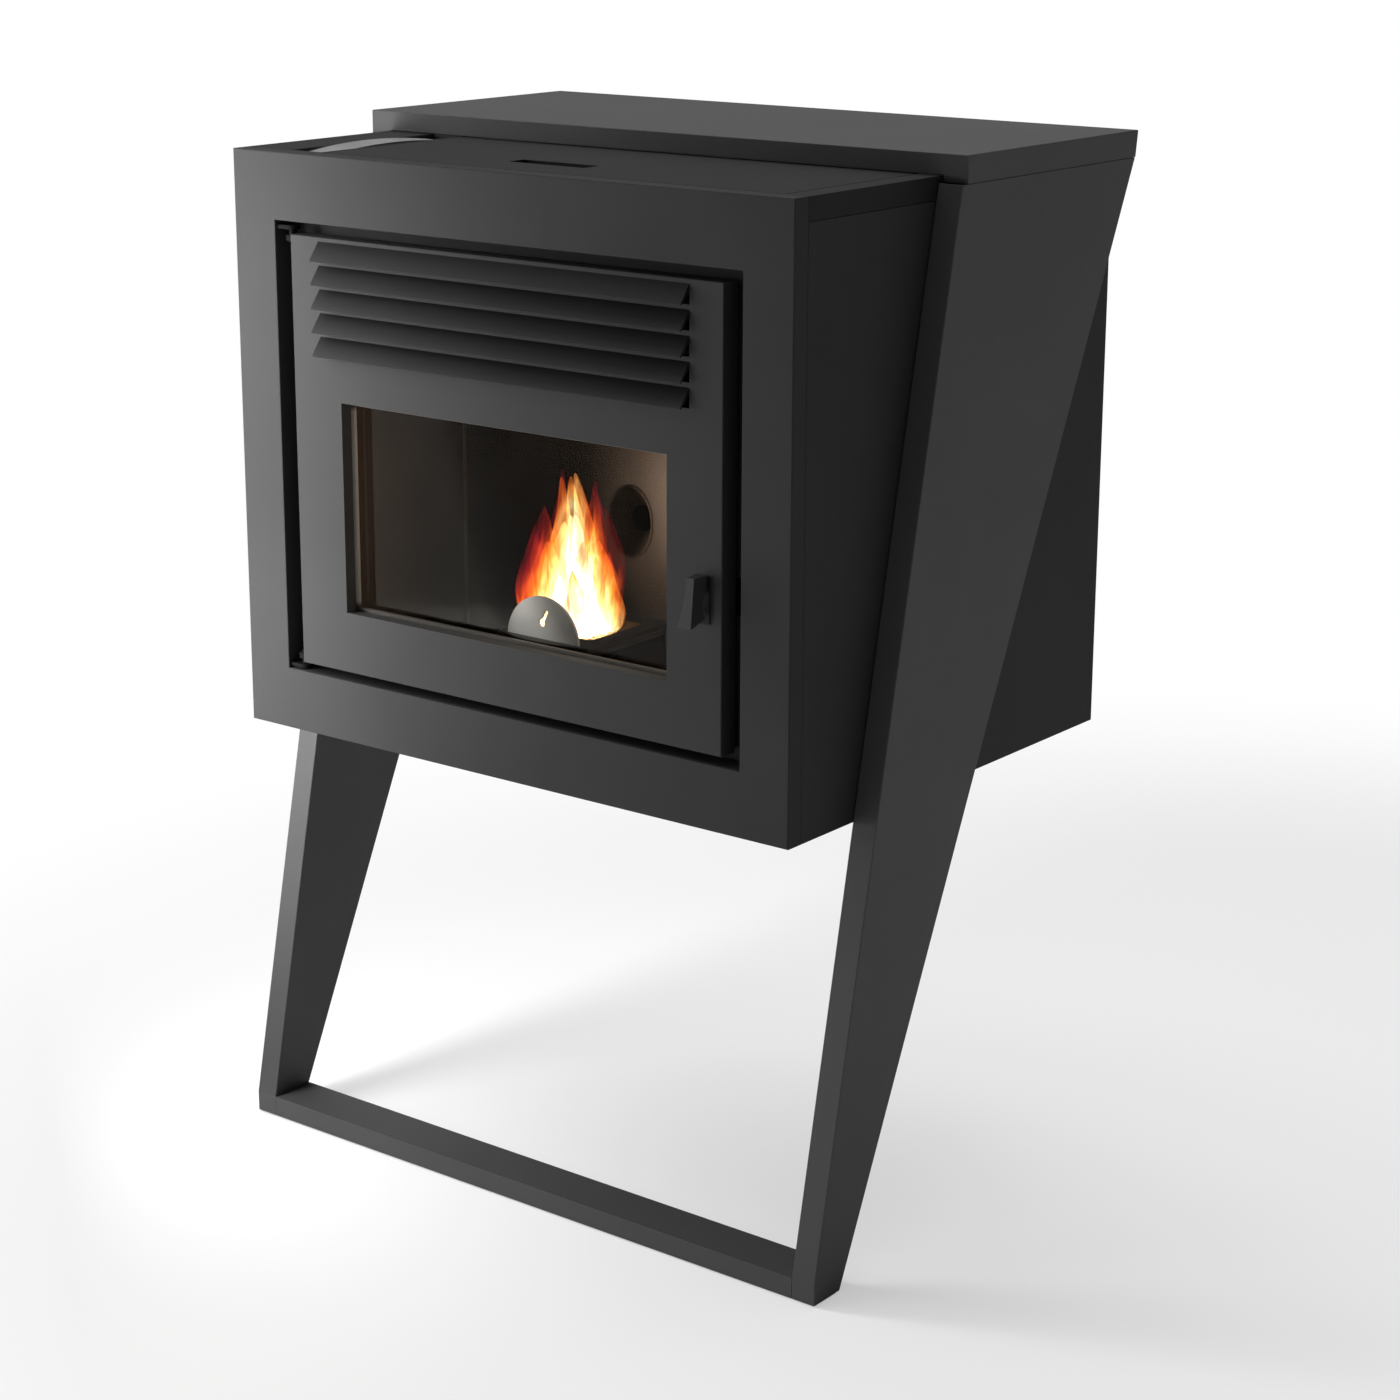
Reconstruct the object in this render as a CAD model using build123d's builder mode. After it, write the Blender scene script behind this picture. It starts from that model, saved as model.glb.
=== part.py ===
from build123d import *
import os
from math import cos, radians, sin, sqrt

os.makedirs("parts", exist_ok=True)

# Pellet stove on a leaning frame, in millimetres.
# X runs to the right as seen from the front, Y to the back, Z up. The origin is on the floor,
# in the middle of the whole object's width and depth.

# ---------------------------------------------------------------- driving dimensions

# casing
BODY_W = 720
BODY_H = 617
BODY_D = 562
BODY_Z = 475
SHEET = 2
SEAM = 0.6
FOLD_R = 1.2

# leaning frame
TOTAL_H = 1113
FRAME_T = 28
FRAME_GAP = 1
FRAME_SHEET = 2.5
PAD_T = 1.5
COVER_FRONT_Y = -40
COVER_SIDE_H = 28
COVER_GAP = 0.6
LEG_TOP_FRONT_Y = -49
LEG_TOP_REAR_Y = 277
FOOT_FRONT_Y = -267
FOOT_REAR_Y = -224
RAIL_H = 24

# wall rail
WALL_RAIL_D = 30
WALL_RAIL_W = 600
WALL_BOLTS_X = 480
WALL_BOLTS_Z = 30
WALL_BOLT_R = 4.5
WALL_RAIL_Z = 1035

# front surround
SURROUND_T = 3
SURROUND_D = 21
JAMB_D = 26
OPENING_W = 604
OPENING_H = 480
OPENING_Z = 782

# door
DOOR_W = 560
DOOR_H = 457
DOOR_Z = 780.5
DOOR_D = 22
DOOR_T = 3
WINDOW_W = 427
WINDOW_H = 223
WINDOW_Z = 728.5
REVEAL_D = 14
GLASS_T = 4

# louvres
LOUVRES = 5
LOUVRE_W = 480
LOUVRE_PITCH = 24.5
LOUVRE_DROP = 18.5
LOUVRE_REACH = 14
LOUVRE_T = 2
LOUVRE_TOP_Z = 1005

# firebox
FIREBOX_HALF_W = 237
FIREBOX_BACK_Y = -67
FIREBOX_Z0 = 561
FIREBOX_Z1 = 870
FIREBOX_T = 4
LINER_T = 2
BULKHEAD_Y = -250
BULKHEAD_T = 3

# burn pot
POT_Y = -147
POT_TOP_Z = 610
POT_HALF_W = 61
DEFLECTOR_R = 47.5

# chute and auger
CHUTE_Z = 708
CHUTE_SLOPE = 41.6
CHUTE_R = 29
TUBE_T = 2
AUGER_R = 26.5
AUGER_PITCH = 42
AUGER_SHAFT_R = 7

# lid in the top
LID_X0 = -252
LID_X1 = 332
LID_REAR_Y = -46
LID_H = 18
LID_HINGE_Y = -56
LID_HINGE_Z = 1083
POCKET_X0 = -300
POCKET_X1 = -257
POCKET_D = 8

# fits of pins and shafts, radial
RUNNING = 0.06

# ---------------------------------------------------------------- derived places

BODY_TOP = BODY_Z + BODY_H
BODY_MID_Z = BODY_Z + BODY_H / 2
FRONT_Y = -BODY_D / 2
BACK_Y = BODY_D / 2
SIDE_X = BODY_W / 2
LEG_IN_X = SIDE_X + FRAME_GAP
LEG_OUT_X = LEG_IN_X + FRAME_T
LEG_TOP_Z = TOTAL_H - COVER_SIDE_H
WALL_Y = BACK_Y + WALL_RAIL_D
DOOR_BACK_Y = FRONT_Y + DOOR_D
PANEL_FRONT_Y = FRONT_Y + SURROUND_D + SEAM
PLATE_SIDE_H = 23
PANEL_TOP_Z = BODY_TOP - PLATE_SIDE_H - SEAM
PAN_D = 20


def lean_front(z):
    """Y of the leg's front edge at height z."""
    slope = (LEG_TOP_FRONT_Y - FOOT_FRONT_Y) / (LEG_TOP_Z - RAIL_H)
    return LEG_TOP_FRONT_Y - (LEG_TOP_Z - z) * slope


def lean_rear(z):
    """Y of the leg's rear edge at height z."""
    slope = (LEG_TOP_REAR_Y - FOOT_REAR_Y) / LEG_TOP_Z
    return LEG_TOP_REAR_Y - (LEG_TOP_Z - z) * slope


def block(x, y, z, mode=Mode.ADD):
    """A rectangular block between pairs of limits in x, y and z."""
    with Locations(((x[0] + x[1]) / 2, (y[0] + y[1]) / 2, (z[0] + z[1]) / 2)):
        Box(x[1] - x[0], y[1] - y[0], z[1] - z[0], mode=mode)


def bar(radius, start, length, direction, mode=Mode.ADD):
    """A round bar from a point along a direction."""
    with BuildSketch(Plane(origin=start, z_dir=direction)) as section:
        Circle(radius)
    extrude(section.sketch, amount=length, mode=mode)


def rect_between(x, z, mode=Mode.ADD):
    """A rectangle between limits, in the current sketch."""
    with Locations(((x[0] + x[1]) / 2, (z[0] + z[1]) / 2)):
        Rectangle(x[1] - x[0], z[1] - z[0], mode=mode)


# ---------------------------------------------------------------- leaning frame

# Each leg is a closed box of folded sheet: a wedge, deep at the top and narrow at the floor,
# whose front face turns upright for the height of the floor rail.
LEG_BOLTS = [(-62, 560), (17, 800), (93, 1030)]
for side, name in ((-1, "left"), (1, "right")):
    with BuildPart() as leg:
        with BuildSketch(Plane.YZ.offset(LEG_IN_X if side > 0 else -LEG_OUT_X)):
            with BuildLine():
                Polyline(
                    (FOOT_FRONT_Y, PAD_T),
                    (FOOT_FRONT_Y, RAIL_H),
                    (lean_front(LEG_TOP_Z), LEG_TOP_Z),
                    (lean_rear(LEG_TOP_Z), LEG_TOP_Z),
                    (lean_rear(PAD_T), PAD_T),
                    close=True,
                )
            make_face()
        extrude(amount=FRAME_T)
        mouth = leg.faces().sort_by(Axis.Z)[-1]
        offset(amount=-FRAME_SHEET, openings=mouth, kind=Kind.INTERSECTION)
        for flank in (leg.faces().sort_by(Axis.X)[0], leg.faces().sort_by(Axis.X)[-1]):
            fillet(flank.edges().sort_by(Axis.Z)[:-1], radius=FOLD_R)
        with Locations(*[(side * LEG_IN_X, y, z) for y, z in LEG_BOLTS]):
            Cylinder(4.3, 12, rotation=(0, 90, 0), mode=Mode.SUBTRACT)
    leg.part.label = "leg_" + name
    export_step(leg.part, "parts/leg_" + name + ".step")

# The floor rail is a box section between the legs, upright in front and sloped behind as they are.
with BuildPart() as foot_rail:
    with BuildSketch(Plane.YZ.offset(-LEG_IN_X)):
        with BuildLine():
            Polyline(
                (FOOT_FRONT_Y, PAD_T),
                (FOOT_FRONT_Y, RAIL_H),
                (lean_rear(RAIL_H), RAIL_H),
                (lean_rear(PAD_T), PAD_T),
                close=True,
            )
        make_face()
    extrude(amount=2 * LEG_IN_X)
    ends = foot_rail.faces().filter_by(Axis.X)
    offset(amount=-FRAME_SHEET, openings=ends, kind=Kind.INTERSECTION)
foot_rail.part.label = "foot_rail"
export_step(foot_rail.part, "parts/foot_rail.step")

# Felt pads under the two feet and the middle of the rail.
with BuildPart() as foot_pads:
    for pad_x in (-LEG_IN_X - FRAME_T / 2, 0, LEG_IN_X + FRAME_T / 2):
        block((pad_x - 12, pad_x + 12), (FOOT_FRONT_Y + 4, FOOT_REAR_Y - 4), (0, PAD_T))
foot_pads.part.label = "foot_pads"
export_step(foot_pads.part, "parts/foot_pads.step")

# The cover is a shallow folded tray that closes the tops of the legs, upright in front and
# leaning behind. Its front and rear flanges are cut back where they pass over the casing.
with BuildPart() as top_cover:
    with BuildSketch(Plane.YZ.offset(-LEG_OUT_X)):
        with BuildLine():
            Polyline(
                (COVER_FRONT_Y, LEG_TOP_Z + COVER_GAP),
                (COVER_FRONT_Y, TOTAL_H),
                (BACK_Y, TOTAL_H),
                (LEG_TOP_REAR_Y, LEG_TOP_Z + COVER_GAP),
                close=True,
            )
        make_face()
    extrude(amount=2 * LEG_OUT_X)
    underside = top_cover.faces().sort_by(Axis.Z)[0]
    offset(amount=-FRAME_SHEET, openings=underside, kind=Kind.INTERSECTION)
    fillet(top_cover.faces().sort_by(Axis.Z)[-1].edges(), radius=FOLD_R)
    block(
        (-LEG_IN_X - 0.2, LEG_IN_X + 0.2),
        (COVER_FRONT_Y - 1, BACK_Y + 1),
        (LEG_TOP_Z - 1, BODY_TOP + 0.5),
        Mode.SUBTRACT,
    )
top_cover.part.label = "top_cover"
export_step(top_cover.part, "parts/top_cover.step")

# Angle brackets inside the leg tops carry the cover.
with BuildPart() as cover_brackets:
    for side in (-1, 1):
        for mid_y in (20, 200):
            wall = side * (LEG_IN_X + FRAME_SHEET)
            x_upright = sorted((wall, wall + side * 3))
            x_ledge = sorted((wall, wall + side * 19))
            block(x_upright, (mid_y - 20, mid_y + 20), (1050, TOTAL_H - FRAME_SHEET))
            block(
                x_ledge,
                (mid_y - 20, mid_y + 20),
                (TOTAL_H - FRAME_SHEET - 3, TOTAL_H - FRAME_SHEET),
            )
cover_brackets.part.label = "cover_brackets"
export_step(cover_brackets.part, "parts/cover_brackets.step")

# Bolts from inside each leg through its inner wall and the casing's side, with a washer that
# keeps the two a little apart.
with BuildPart() as frame_bolts:
    for side in (-1, 1):
        for y, z in LEG_BOLTS:
            head = Plane(origin=(side * (LEG_IN_X + FRAME_SHEET), y, z), z_dir=(side, 0, 0))
            with BuildSketch(head):
                RegularPolygon(7.5, 6)
            extrude(amount=5.3)
            bar(4, (side * (SIDE_X - 14), y, z), FRAME_SHEET + 15.1, (side, 0, 0))
            nut = Plane(origin=(side * (SIDE_X - SHEET), y, z), z_dir=(-side, 0, 0))
            with BuildSketch(nut):
                RegularPolygon(7.5, 6)
            extrude(amount=6.5)
frame_bolts.part.label = "frame_bolts"
export_step(frame_bolts.part, "parts/frame_bolts.step")

with BuildPart() as spacer_washers:
    for side in (-1, 1):
        for y, z in LEG_BOLTS:
            with BuildSketch(Plane(origin=(side * SIDE_X, y, z), z_dir=(side, 0, 0))):
                Circle(12)
                Circle(4.3, mode=Mode.SUBTRACT)
            extrude(amount=FRAME_GAP)
spacer_washers.part.label = "spacer_washers"
export_step(spacer_washers.part, "parts/spacer_washers.step")

# The wall rail is a folded hat section on the back of the casing, bolted flat to the wall.
with BuildPart() as wall_rail:
    half_web = 30
    lip = 15
    with BuildSketch(Plane.YZ.offset(-WALL_RAIL_W / 2)):
        with BuildLine():
            Polyline(
                (BACK_Y, WALL_RAIL_Z - half_web - lip),
                (BACK_Y, WALL_RAIL_Z - half_web + SHEET),
                (WALL_Y - SHEET, WALL_RAIL_Z - half_web + SHEET),
                (WALL_Y - SHEET, WALL_RAIL_Z + half_web - SHEET),
                (BACK_Y, WALL_RAIL_Z + half_web - SHEET),
                (BACK_Y, WALL_RAIL_Z + half_web + lip),
                (BACK_Y + SHEET, WALL_RAIL_Z + half_web + lip),
                (BACK_Y + SHEET, WALL_RAIL_Z + half_web),
                (WALL_Y, WALL_RAIL_Z + half_web),
                (WALL_Y, WALL_RAIL_Z - half_web),
                (BACK_Y + SHEET, WALL_RAIL_Z - half_web),
                (BACK_Y + SHEET, WALL_RAIL_Z - half_web - lip),
                close=True,
            )
        make_face()
    extrude(amount=WALL_RAIL_W)
    with Locations(Plane.XZ.offset(-WALL_Y) * Pos(0, WALL_RAIL_Z, 0)):
        with GridLocations(WALL_BOLTS_X, WALL_BOLTS_Z, 2, 2):
            Cylinder(WALL_BOLT_R, 4 * SHEET, mode=Mode.SUBTRACT)
wall_rail.part.label = "wall_rail"
export_step(wall_rail.part, "parts/wall_rail.step")

# ---------------------------------------------------------------- casing

# The front surround is one folded frame: a flat face, returns round its outside that form the
# first strip of the casing's sides, and jambs that turn in round the door opening.
with BuildPart() as front_surround:
    with BuildSketch(Plane.XZ.offset(-FRONT_Y)):
        with Locations((0, BODY_MID_Z)):
            Rectangle(BODY_W, BODY_H)
        with Locations((0, OPENING_Z)):
            Rectangle(OPENING_W, OPENING_H, mode=Mode.SUBTRACT)
    extrude(amount=-SURROUND_T)
    with BuildSketch(Plane.XZ.offset(-FRONT_Y - SURROUND_T)):
        with Locations((0, BODY_MID_Z)):
            Rectangle(BODY_W, BODY_H)
            Rectangle(BODY_W - 2 * SURROUND_T, BODY_H - 2 * SURROUND_T, mode=Mode.SUBTRACT)
    extrude(amount=-(SURROUND_D - SURROUND_T))
    with BuildSketch(Plane.XZ.offset(-FRONT_Y - SURROUND_T)):
        with Locations((0, OPENING_Z)):
            Rectangle(OPENING_W + 2 * SURROUND_T, OPENING_H + 2 * SURROUND_T)
            Rectangle(OPENING_W, OPENING_H, mode=Mode.SUBTRACT)
    extrude(amount=-(JAMB_D - SURROUND_T))
    face = front_surround.faces().sort_by(Axis.Y)[0]
    fillet(face.edges(), radius=1.2)
front_surround.part.label = "front_surround"
export_step(front_surround.part, "parts/front_surround.step")

# Each side is a shallow pan whose four returns turn inwards.
for side, name in ((-1, "left"), (1, "right")):
    with BuildPart() as side_panel:
        block(
            sorted((side * SIDE_X, side * (SIDE_X - PAN_D))),
            (PANEL_FRONT_Y, BACK_Y),
            (BODY_Z, PANEL_TOP_Z),
        )
        inner_face = side_panel.faces().filter_by(Axis.X).sort_by(Axis.X)[0 if side > 0 else -1]
        offset(amount=-SHEET, openings=inner_face, kind=Kind.INTERSECTION)
        with Locations(*[(side * SIDE_X, y, z) for y, z in LEG_BOLTS]):
            Cylinder(4.3, 12, rotation=(0, 90, 0), mode=Mode.SUBTRACT)
    side_panel.part.label = "side_panel_" + name
    export_step(side_panel.part, "parts/side_panel_" + name + ".step")

# The bottom is a pan between the sides with rows of slots that let room air in.
BETWEEN_X = SIDE_X - PAN_D - 0.2
with BuildPart() as bottom_panel:
    block((-BETWEEN_X, BETWEEN_X), (PANEL_FRONT_Y, BACK_Y), (BODY_Z, BODY_Z + PAN_D))
    upper_face = bottom_panel.faces().sort_by(Axis.Z)[-1]
    offset(amount=-SHEET, openings=upper_face, kind=Kind.INTERSECTION)
    with BuildSketch(Plane.XY.offset(BODY_Z)):
        with Locations((-180, 80)):
            with GridLocations(24, 60, 9, 2):
                SlotOverall(44, 8, rotation=90)
    extrude(amount=SHEET, mode=Mode.SUBTRACT)
bottom_panel.part.label = "bottom_panel"
export_step(bottom_panel.part, "parts/bottom_panel.step")

# places of what comes through the back
FLUE_X = 250
FLUE_Z = 560
FLUE_R = 40
AIR_Z = 520
AIR_R = 25
INLET_X = -250
INLET_Z = 550
SPIGOT_OUT = 25

# The back is a flat sheet between the sides, with the flue, the air intake, the power inlet
# and a field of vent slots.
with BuildPart() as back_panel:
    with BuildSketch(Plane.XZ.offset(-BACK_Y)):
        rect_between((-BETWEEN_X, BETWEEN_X), (BODY_Z + PAN_D + 0.2, PANEL_TOP_Z - 0.4))
        with Locations((FLUE_X, FLUE_Z)):
            Circle(FLUE_R + 2, mode=Mode.SUBTRACT)
        with Locations((0, AIR_Z)):
            Circle(AIR_R + 1.5, mode=Mode.SUBTRACT)
        with Locations((INLET_X, INLET_Z)):
            Rectangle(50, 30, mode=Mode.SUBTRACT)
        with Locations((0, 850)):
            with GridLocations(60, 22, 7, 5):
                SlotOverall(46, 7, mode=Mode.SUBTRACT)
    extrude(amount=SHEET)
back_panel.part.label = "back_panel"
export_step(back_panel.part, "parts/back_panel.step")

# The top plate is a pan turned over, cut out for the lid and for the narrow control tray.
with BuildPart() as top_plate:
    block((-SIDE_X, SIDE_X), (PANEL_FRONT_Y, BACK_Y), (BODY_TOP - PLATE_SIDE_H, BODY_TOP))
    fillet(top_plate.edges().filter_by(Axis.Z).sort_by(Axis.Y)[-2:], radius=1.2)
    lower_face = top_plate.faces().sort_by(Axis.Z)[0]
    offset(amount=-SHEET, openings=lower_face, kind=Kind.INTERSECTION)
    with BuildSketch(Plane.XY.offset(BODY_TOP - PLATE_SIDE_H)):
        rect_between((LID_X0 - 1.5, LID_X1 + 1.5), (PANEL_FRONT_Y - 1, COVER_FRONT_Y + 2))
        rect_between((POCKET_X0, POCKET_X1), (PANEL_FRONT_Y + 4, COVER_FRONT_Y + 2))
    extrude(amount=PLATE_SIDE_H + 1, mode=Mode.SUBTRACT)
top_plate.part.label = "top_plate"
export_step(top_plate.part, "parts/top_plate.step")

# A folded rail under each end of the lid opening carries a riveted pin that the lid turns on.
LID_PIN_R = 3
with BuildPart() as lid_rails:
    for wall_x, turn in ((LID_X0 - 1.5, -1), (LID_X1 + 1.5, 1)):
        x_web = sorted((wall_x + turn * 0.5, wall_x + turn * 2.5))
        block(x_web, (PANEL_FRONT_Y + 4, COVER_FRONT_Y), (1070, BODY_TOP - SHEET))
        bar(LID_PIN_R, (wall_x + turn * 2.5, LID_HINGE_Y, LID_HINGE_Z), 10, (-turn, 0, 0))
lid_rails.part.label = "lid_rails"
export_step(lid_rails.part, "parts/lid_rails.step")

# The hopper lid is a pan with a long finger slot. A shallow cup behind the slot keeps dust out.
SLOT_W = 98
SLOT_D = 24
SLOT_Y = -191
CUP_D = 14
with BuildPart() as hopper_lid:
    block((LID_X0, LID_X1), (PANEL_FRONT_Y + 0.9, LID_REAR_Y), (BODY_TOP - LID_H, BODY_TOP))
    lid_under = hopper_lid.faces().sort_by(Axis.Z)[0]
    offset(amount=-SHEET, openings=lid_under, kind=Kind.INTERSECTION)
    block(
        (-SLOT_W / 2 - 2, SLOT_W / 2 + 2),
        (SLOT_Y - SLOT_D / 2 - 2, SLOT_Y + SLOT_D / 2 + 2),
        (BODY_TOP - SHEET - CUP_D, BODY_TOP - SHEET),
    )
    with BuildSketch(Plane.XY.offset(BODY_TOP)):
        with Locations((0, SLOT_Y)):
            RectangleRounded(SLOT_W, SLOT_D, 3)
    extrude(amount=-CUP_D, mode=Mode.SUBTRACT)
    with Locations((LID_X0, LID_HINGE_Y, LID_HINGE_Z), (LID_X1, LID_HINGE_Y, LID_HINGE_Z)):
        Cylinder(LID_PIN_R + RUNNING, 12, rotation=(0, 90, 0), mode=Mode.SUBTRACT)
hopper_lid.part.label = "hopper_lid"
export_step(hopper_lid.part, "parts/hopper_lid.step")

# The control tray is a narrow pan sunk beside the lid. Its strip is bowed along its length, so
# it rises from the tray's floor at both ends to the top plate's level in the middle.
TRAY_Y0 = PANEL_FRONT_Y + 4.4
TRAY_Y1 = COVER_FRONT_Y + 1.6
with BuildPart() as control_tray:
    block(
        (POCKET_X0 + 0.3, POCKET_X1 - 0.3),
        (TRAY_Y0, TRAY_Y1),
        (BODY_TOP - POCKET_D - 1.5, BODY_TOP - 0.4),
    )
    tray_mouth = control_tray.faces().sort_by(Axis.Z)[-1]
    offset(amount=-1.5, openings=tray_mouth, kind=Kind.INTERSECTION)
control_tray.part.label = "control_tray"
export_step(control_tray.part, "parts/control_tray.step")

STRIP_T = 2
STRIP_RISE = 7.5
with BuildPart() as control_strip:
    strip_y0 = TRAY_Y0 + 2
    strip_y1 = COVER_FRONT_Y - 1
    strip_z = BODY_TOP - POCKET_D + 0.2
    with BuildSketch(Plane.YZ.offset(POCKET_X0 + 2.2)):
        with BuildLine():
            top = ThreePointArc(
                (strip_y0, strip_z + STRIP_T),
                ((strip_y0 + strip_y1) / 2, strip_z + STRIP_T + STRIP_RISE),
                (strip_y1, strip_z + STRIP_T),
            )
            Line((strip_y1, strip_z + STRIP_T), (strip_y1, strip_z))
            ThreePointArc(
                (strip_y1, strip_z),
                ((strip_y0 + strip_y1) / 2, strip_z + STRIP_RISE),
                (strip_y0, strip_z),
            )
            Line((strip_y0, strip_z), (strip_y0, strip_z + STRIP_T))
        make_face()
    extrude(amount=POCKET_X1 - POCKET_X0 - 4.4)
control_strip.part.label = "control_strip"
export_step(control_strip.part, "parts/control_strip.step")

# The bulkhead stands behind the surround and carries the firebox. It is open for the fire and
# for the warm air behind the louvres, and notched from its right edge for the latch arm.
FIRE_HALF_W = 228
FIRE_Z0 = 576
FIRE_Z1 = 857
VENT_HALF_W = 236
VENT_Z0 = 884
VENT_Z1 = 1004
LATCH_X = 257
NOTCH_Z0 = 686
NOTCH_Z1 = 724
with BuildPart() as front_bulkhead:
    with BuildSketch(Plane.XZ.offset(-BULKHEAD_Y)):
        rect_between((-BETWEEN_X, BETWEEN_X), (BODY_Z + PAN_D + 0.2, PANEL_TOP_Z - 4))
        with Locations((0, (FIRE_Z0 + FIRE_Z1) / 2)):
            Rectangle(2 * FIRE_HALF_W, FIRE_Z1 - FIRE_Z0, mode=Mode.SUBTRACT)
        with Locations((0, (VENT_Z0 + VENT_Z1) / 2)):
            Rectangle(2 * VENT_HALF_W, VENT_Z1 - VENT_Z0, mode=Mode.SUBTRACT)
        rect_between((LATCH_X - 9, BETWEEN_X), (NOTCH_Z0, NOTCH_Z1), Mode.SUBTRACT)
    extrude(amount=-BULKHEAD_T)
front_bulkhead.part.label = "front_bulkhead"
export_step(front_bulkhead.part, "parts/front_bulkhead.step")

# ---------------------------------------------------------------- door

WINDOW_Z0 = WINDOW_Z - WINDOW_H / 2
WINDOW_Z1 = WINDOW_Z + WINDOW_H / 2
DOOR_Z0 = DOOR_Z - DOOR_H / 2
DOOR_Z1 = DOOR_Z + DOOR_H / 2
PIVOT_Y = -270
PIVOT_Z = 718
SLOT_DOWN = 6
SLOT_UP = 9
SLOT_ROOT = 3


def louvre_points(root_z):
    """Corners of one slat in the YZ plane: sheet bent forwards and down from its root."""
    slant = sqrt(LOUVRE_REACH**2 + LOUVRE_DROP**2)
    under_y = LOUVRE_T * LOUVRE_DROP / slant
    under_z = -LOUVRE_T * LOUVRE_REACH / slant
    tip_y = FRONT_Y - LOUVRE_REACH
    tip_z = root_z - LOUVRE_DROP
    return [
        (FRONT_Y, root_z),
        (tip_y, tip_z),
        (tip_y + under_y, tip_z + under_z),
        (FRONT_Y + DOOR_T, root_z - SLOT_ROOT - 1),
        (FRONT_Y + DOOR_T, root_z),
    ]


# The door is a pan of thick sheet. A sleeve turns in round the window, and five slats are cut on
# three sides and bent outwards along their upper edge, so that their ends stand open.
with BuildPart() as door_panel:
    block(
        (-DOOR_W / 2, DOOR_W / 2),
        (FRONT_Y, DOOR_BACK_Y),
        (DOOR_Z0, DOOR_Z1),
    )
    door_rear = door_panel.faces().sort_by(Axis.Y)[-1]
    offset(amount=-DOOR_T, openings=door_rear, kind=Kind.INTERSECTION)
    fillet(door_panel.faces().sort_by(Axis.Y)[0].edges(), radius=1.2)
    with BuildSketch(Plane.XZ.offset(-FRONT_Y - DOOR_T / 2)):
        with Locations((0, WINDOW_Z)):
            Rectangle(WINDOW_W + 2 * DOOR_T, WINDOW_H + 2 * DOOR_T)
    extrude(amount=-(REVEAL_D - DOOR_T / 2))
    with BuildSketch(Plane.XZ.offset(-FRONT_Y)):
        with Locations((0, WINDOW_Z)):
            Rectangle(WINDOW_W, WINDOW_H)
    extrude(amount=-DOOR_D, mode=Mode.SUBTRACT)
    for slat in range(LOUVRES):
        root_z = LOUVRE_TOP_Z - slat * LOUVRE_PITCH
        block(
            (-LOUVRE_W / 2 - 0.4, LOUVRE_W / 2 + 0.4),
            (FRONT_Y - 1, FRONT_Y + DOOR_T + 1),
            (root_z - LOUVRE_PITCH + SLOT_ROOT + 1.5, root_z - SLOT_ROOT),
            Mode.SUBTRACT,
        )
    for slat in range(LOUVRES):
        with BuildSketch(Plane.YZ.offset(-LOUVRE_W / 2)):
            with BuildLine():
                Polyline(*louvre_points(LOUVRE_TOP_Z - slat * LOUVRE_PITCH), close=True)
            make_face()
        extrude(amount=LOUVRE_W)
    block(
        (LATCH_X - 6, LATCH_X + 6),
        (FRONT_Y - 1, FRONT_Y + DOOR_T + 1),
        (PIVOT_Z - SLOT_DOWN, PIVOT_Z + SLOT_UP),
        Mode.SUBTRACT,
    )
door_panel.part.label = "door_panel"
export_step(door_panel.part, "parts/door_panel.step")

# The inner frame closes the back of the pan round the glass and carries the rope seal.
GLASS_W = WINDOW_W + 16
GLASS_H = WINDOW_H + 16
with BuildPart() as door_inner_frame:
    with BuildSketch(Plane.XZ.offset(-DOOR_BACK_Y)):
        with Locations((0, DOOR_Z)):
            Rectangle(DOOR_W - 2 * DOOR_T - 1, DOOR_H - 2 * DOOR_T - 1)
        with Locations((0, WINDOW_Z)):
            Rectangle(GLASS_W + 1, GLASS_H + 1, mode=Mode.SUBTRACT)
        with Locations((0, (VENT_Z0 + VENT_Z1) / 2 - 2)):
            Rectangle(LOUVRE_W, VENT_Z1 - VENT_Z0 - 8, mode=Mode.SUBTRACT)
        with Locations((LATCH_X, 710)):
            Rectangle(16, 34, mode=Mode.SUBTRACT)
    extrude(amount=2)
door_inner_frame.part.label = "door_inner_frame"
export_step(door_inner_frame.part, "parts/door_inner_frame.step")

# A polished bead stands between the sleeve and the glass.
BEAD_Y = FRONT_Y + REVEAL_D
with BuildPart() as window_bead:
    with BuildSketch(Plane.XZ.offset(-BEAD_Y)):
        with Locations((0, WINDOW_Z)):
            Rectangle(WINDOW_W + 5, WINDOW_H + 5)
            Rectangle(WINDOW_W - 8, WINDOW_H - 8, mode=Mode.SUBTRACT)
    extrude(amount=-4)
window_bead.part.label = "window_bead"
export_step(window_bead.part, "parts/window_bead.step")

GLASS_Y = BEAD_Y + 4.3
with BuildPart() as door_glass:
    with BuildSketch(Plane.XZ.offset(-GLASS_Y)):
        with Locations((0, WINDOW_Z)):
            RectangleRounded(GLASS_W, GLASS_H, 4)
    extrude(amount=-GLASS_T)
door_glass.part.label = "door_glass"
export_step(door_glass.part, "parts/door_glass.step")

# Two pressed strips behind the glass hold it against the bead.
with BuildPart() as glass_retainers:
    for mid_z in (WINDOW_Z0 - 6, WINDOW_Z1 + 6):
        block(
            (-GLASS_W / 2 + 6, GLASS_W / 2 - 6),
            (GLASS_Y + GLASS_T + 0.2, GLASS_Y + GLASS_T + 2.2),
            (mid_z - 7, mid_z + 7),
        )
glass_retainers.part.label = "glass_retainers"
export_step(glass_retainers.part, "parts/glass_retainers.step")

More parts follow.
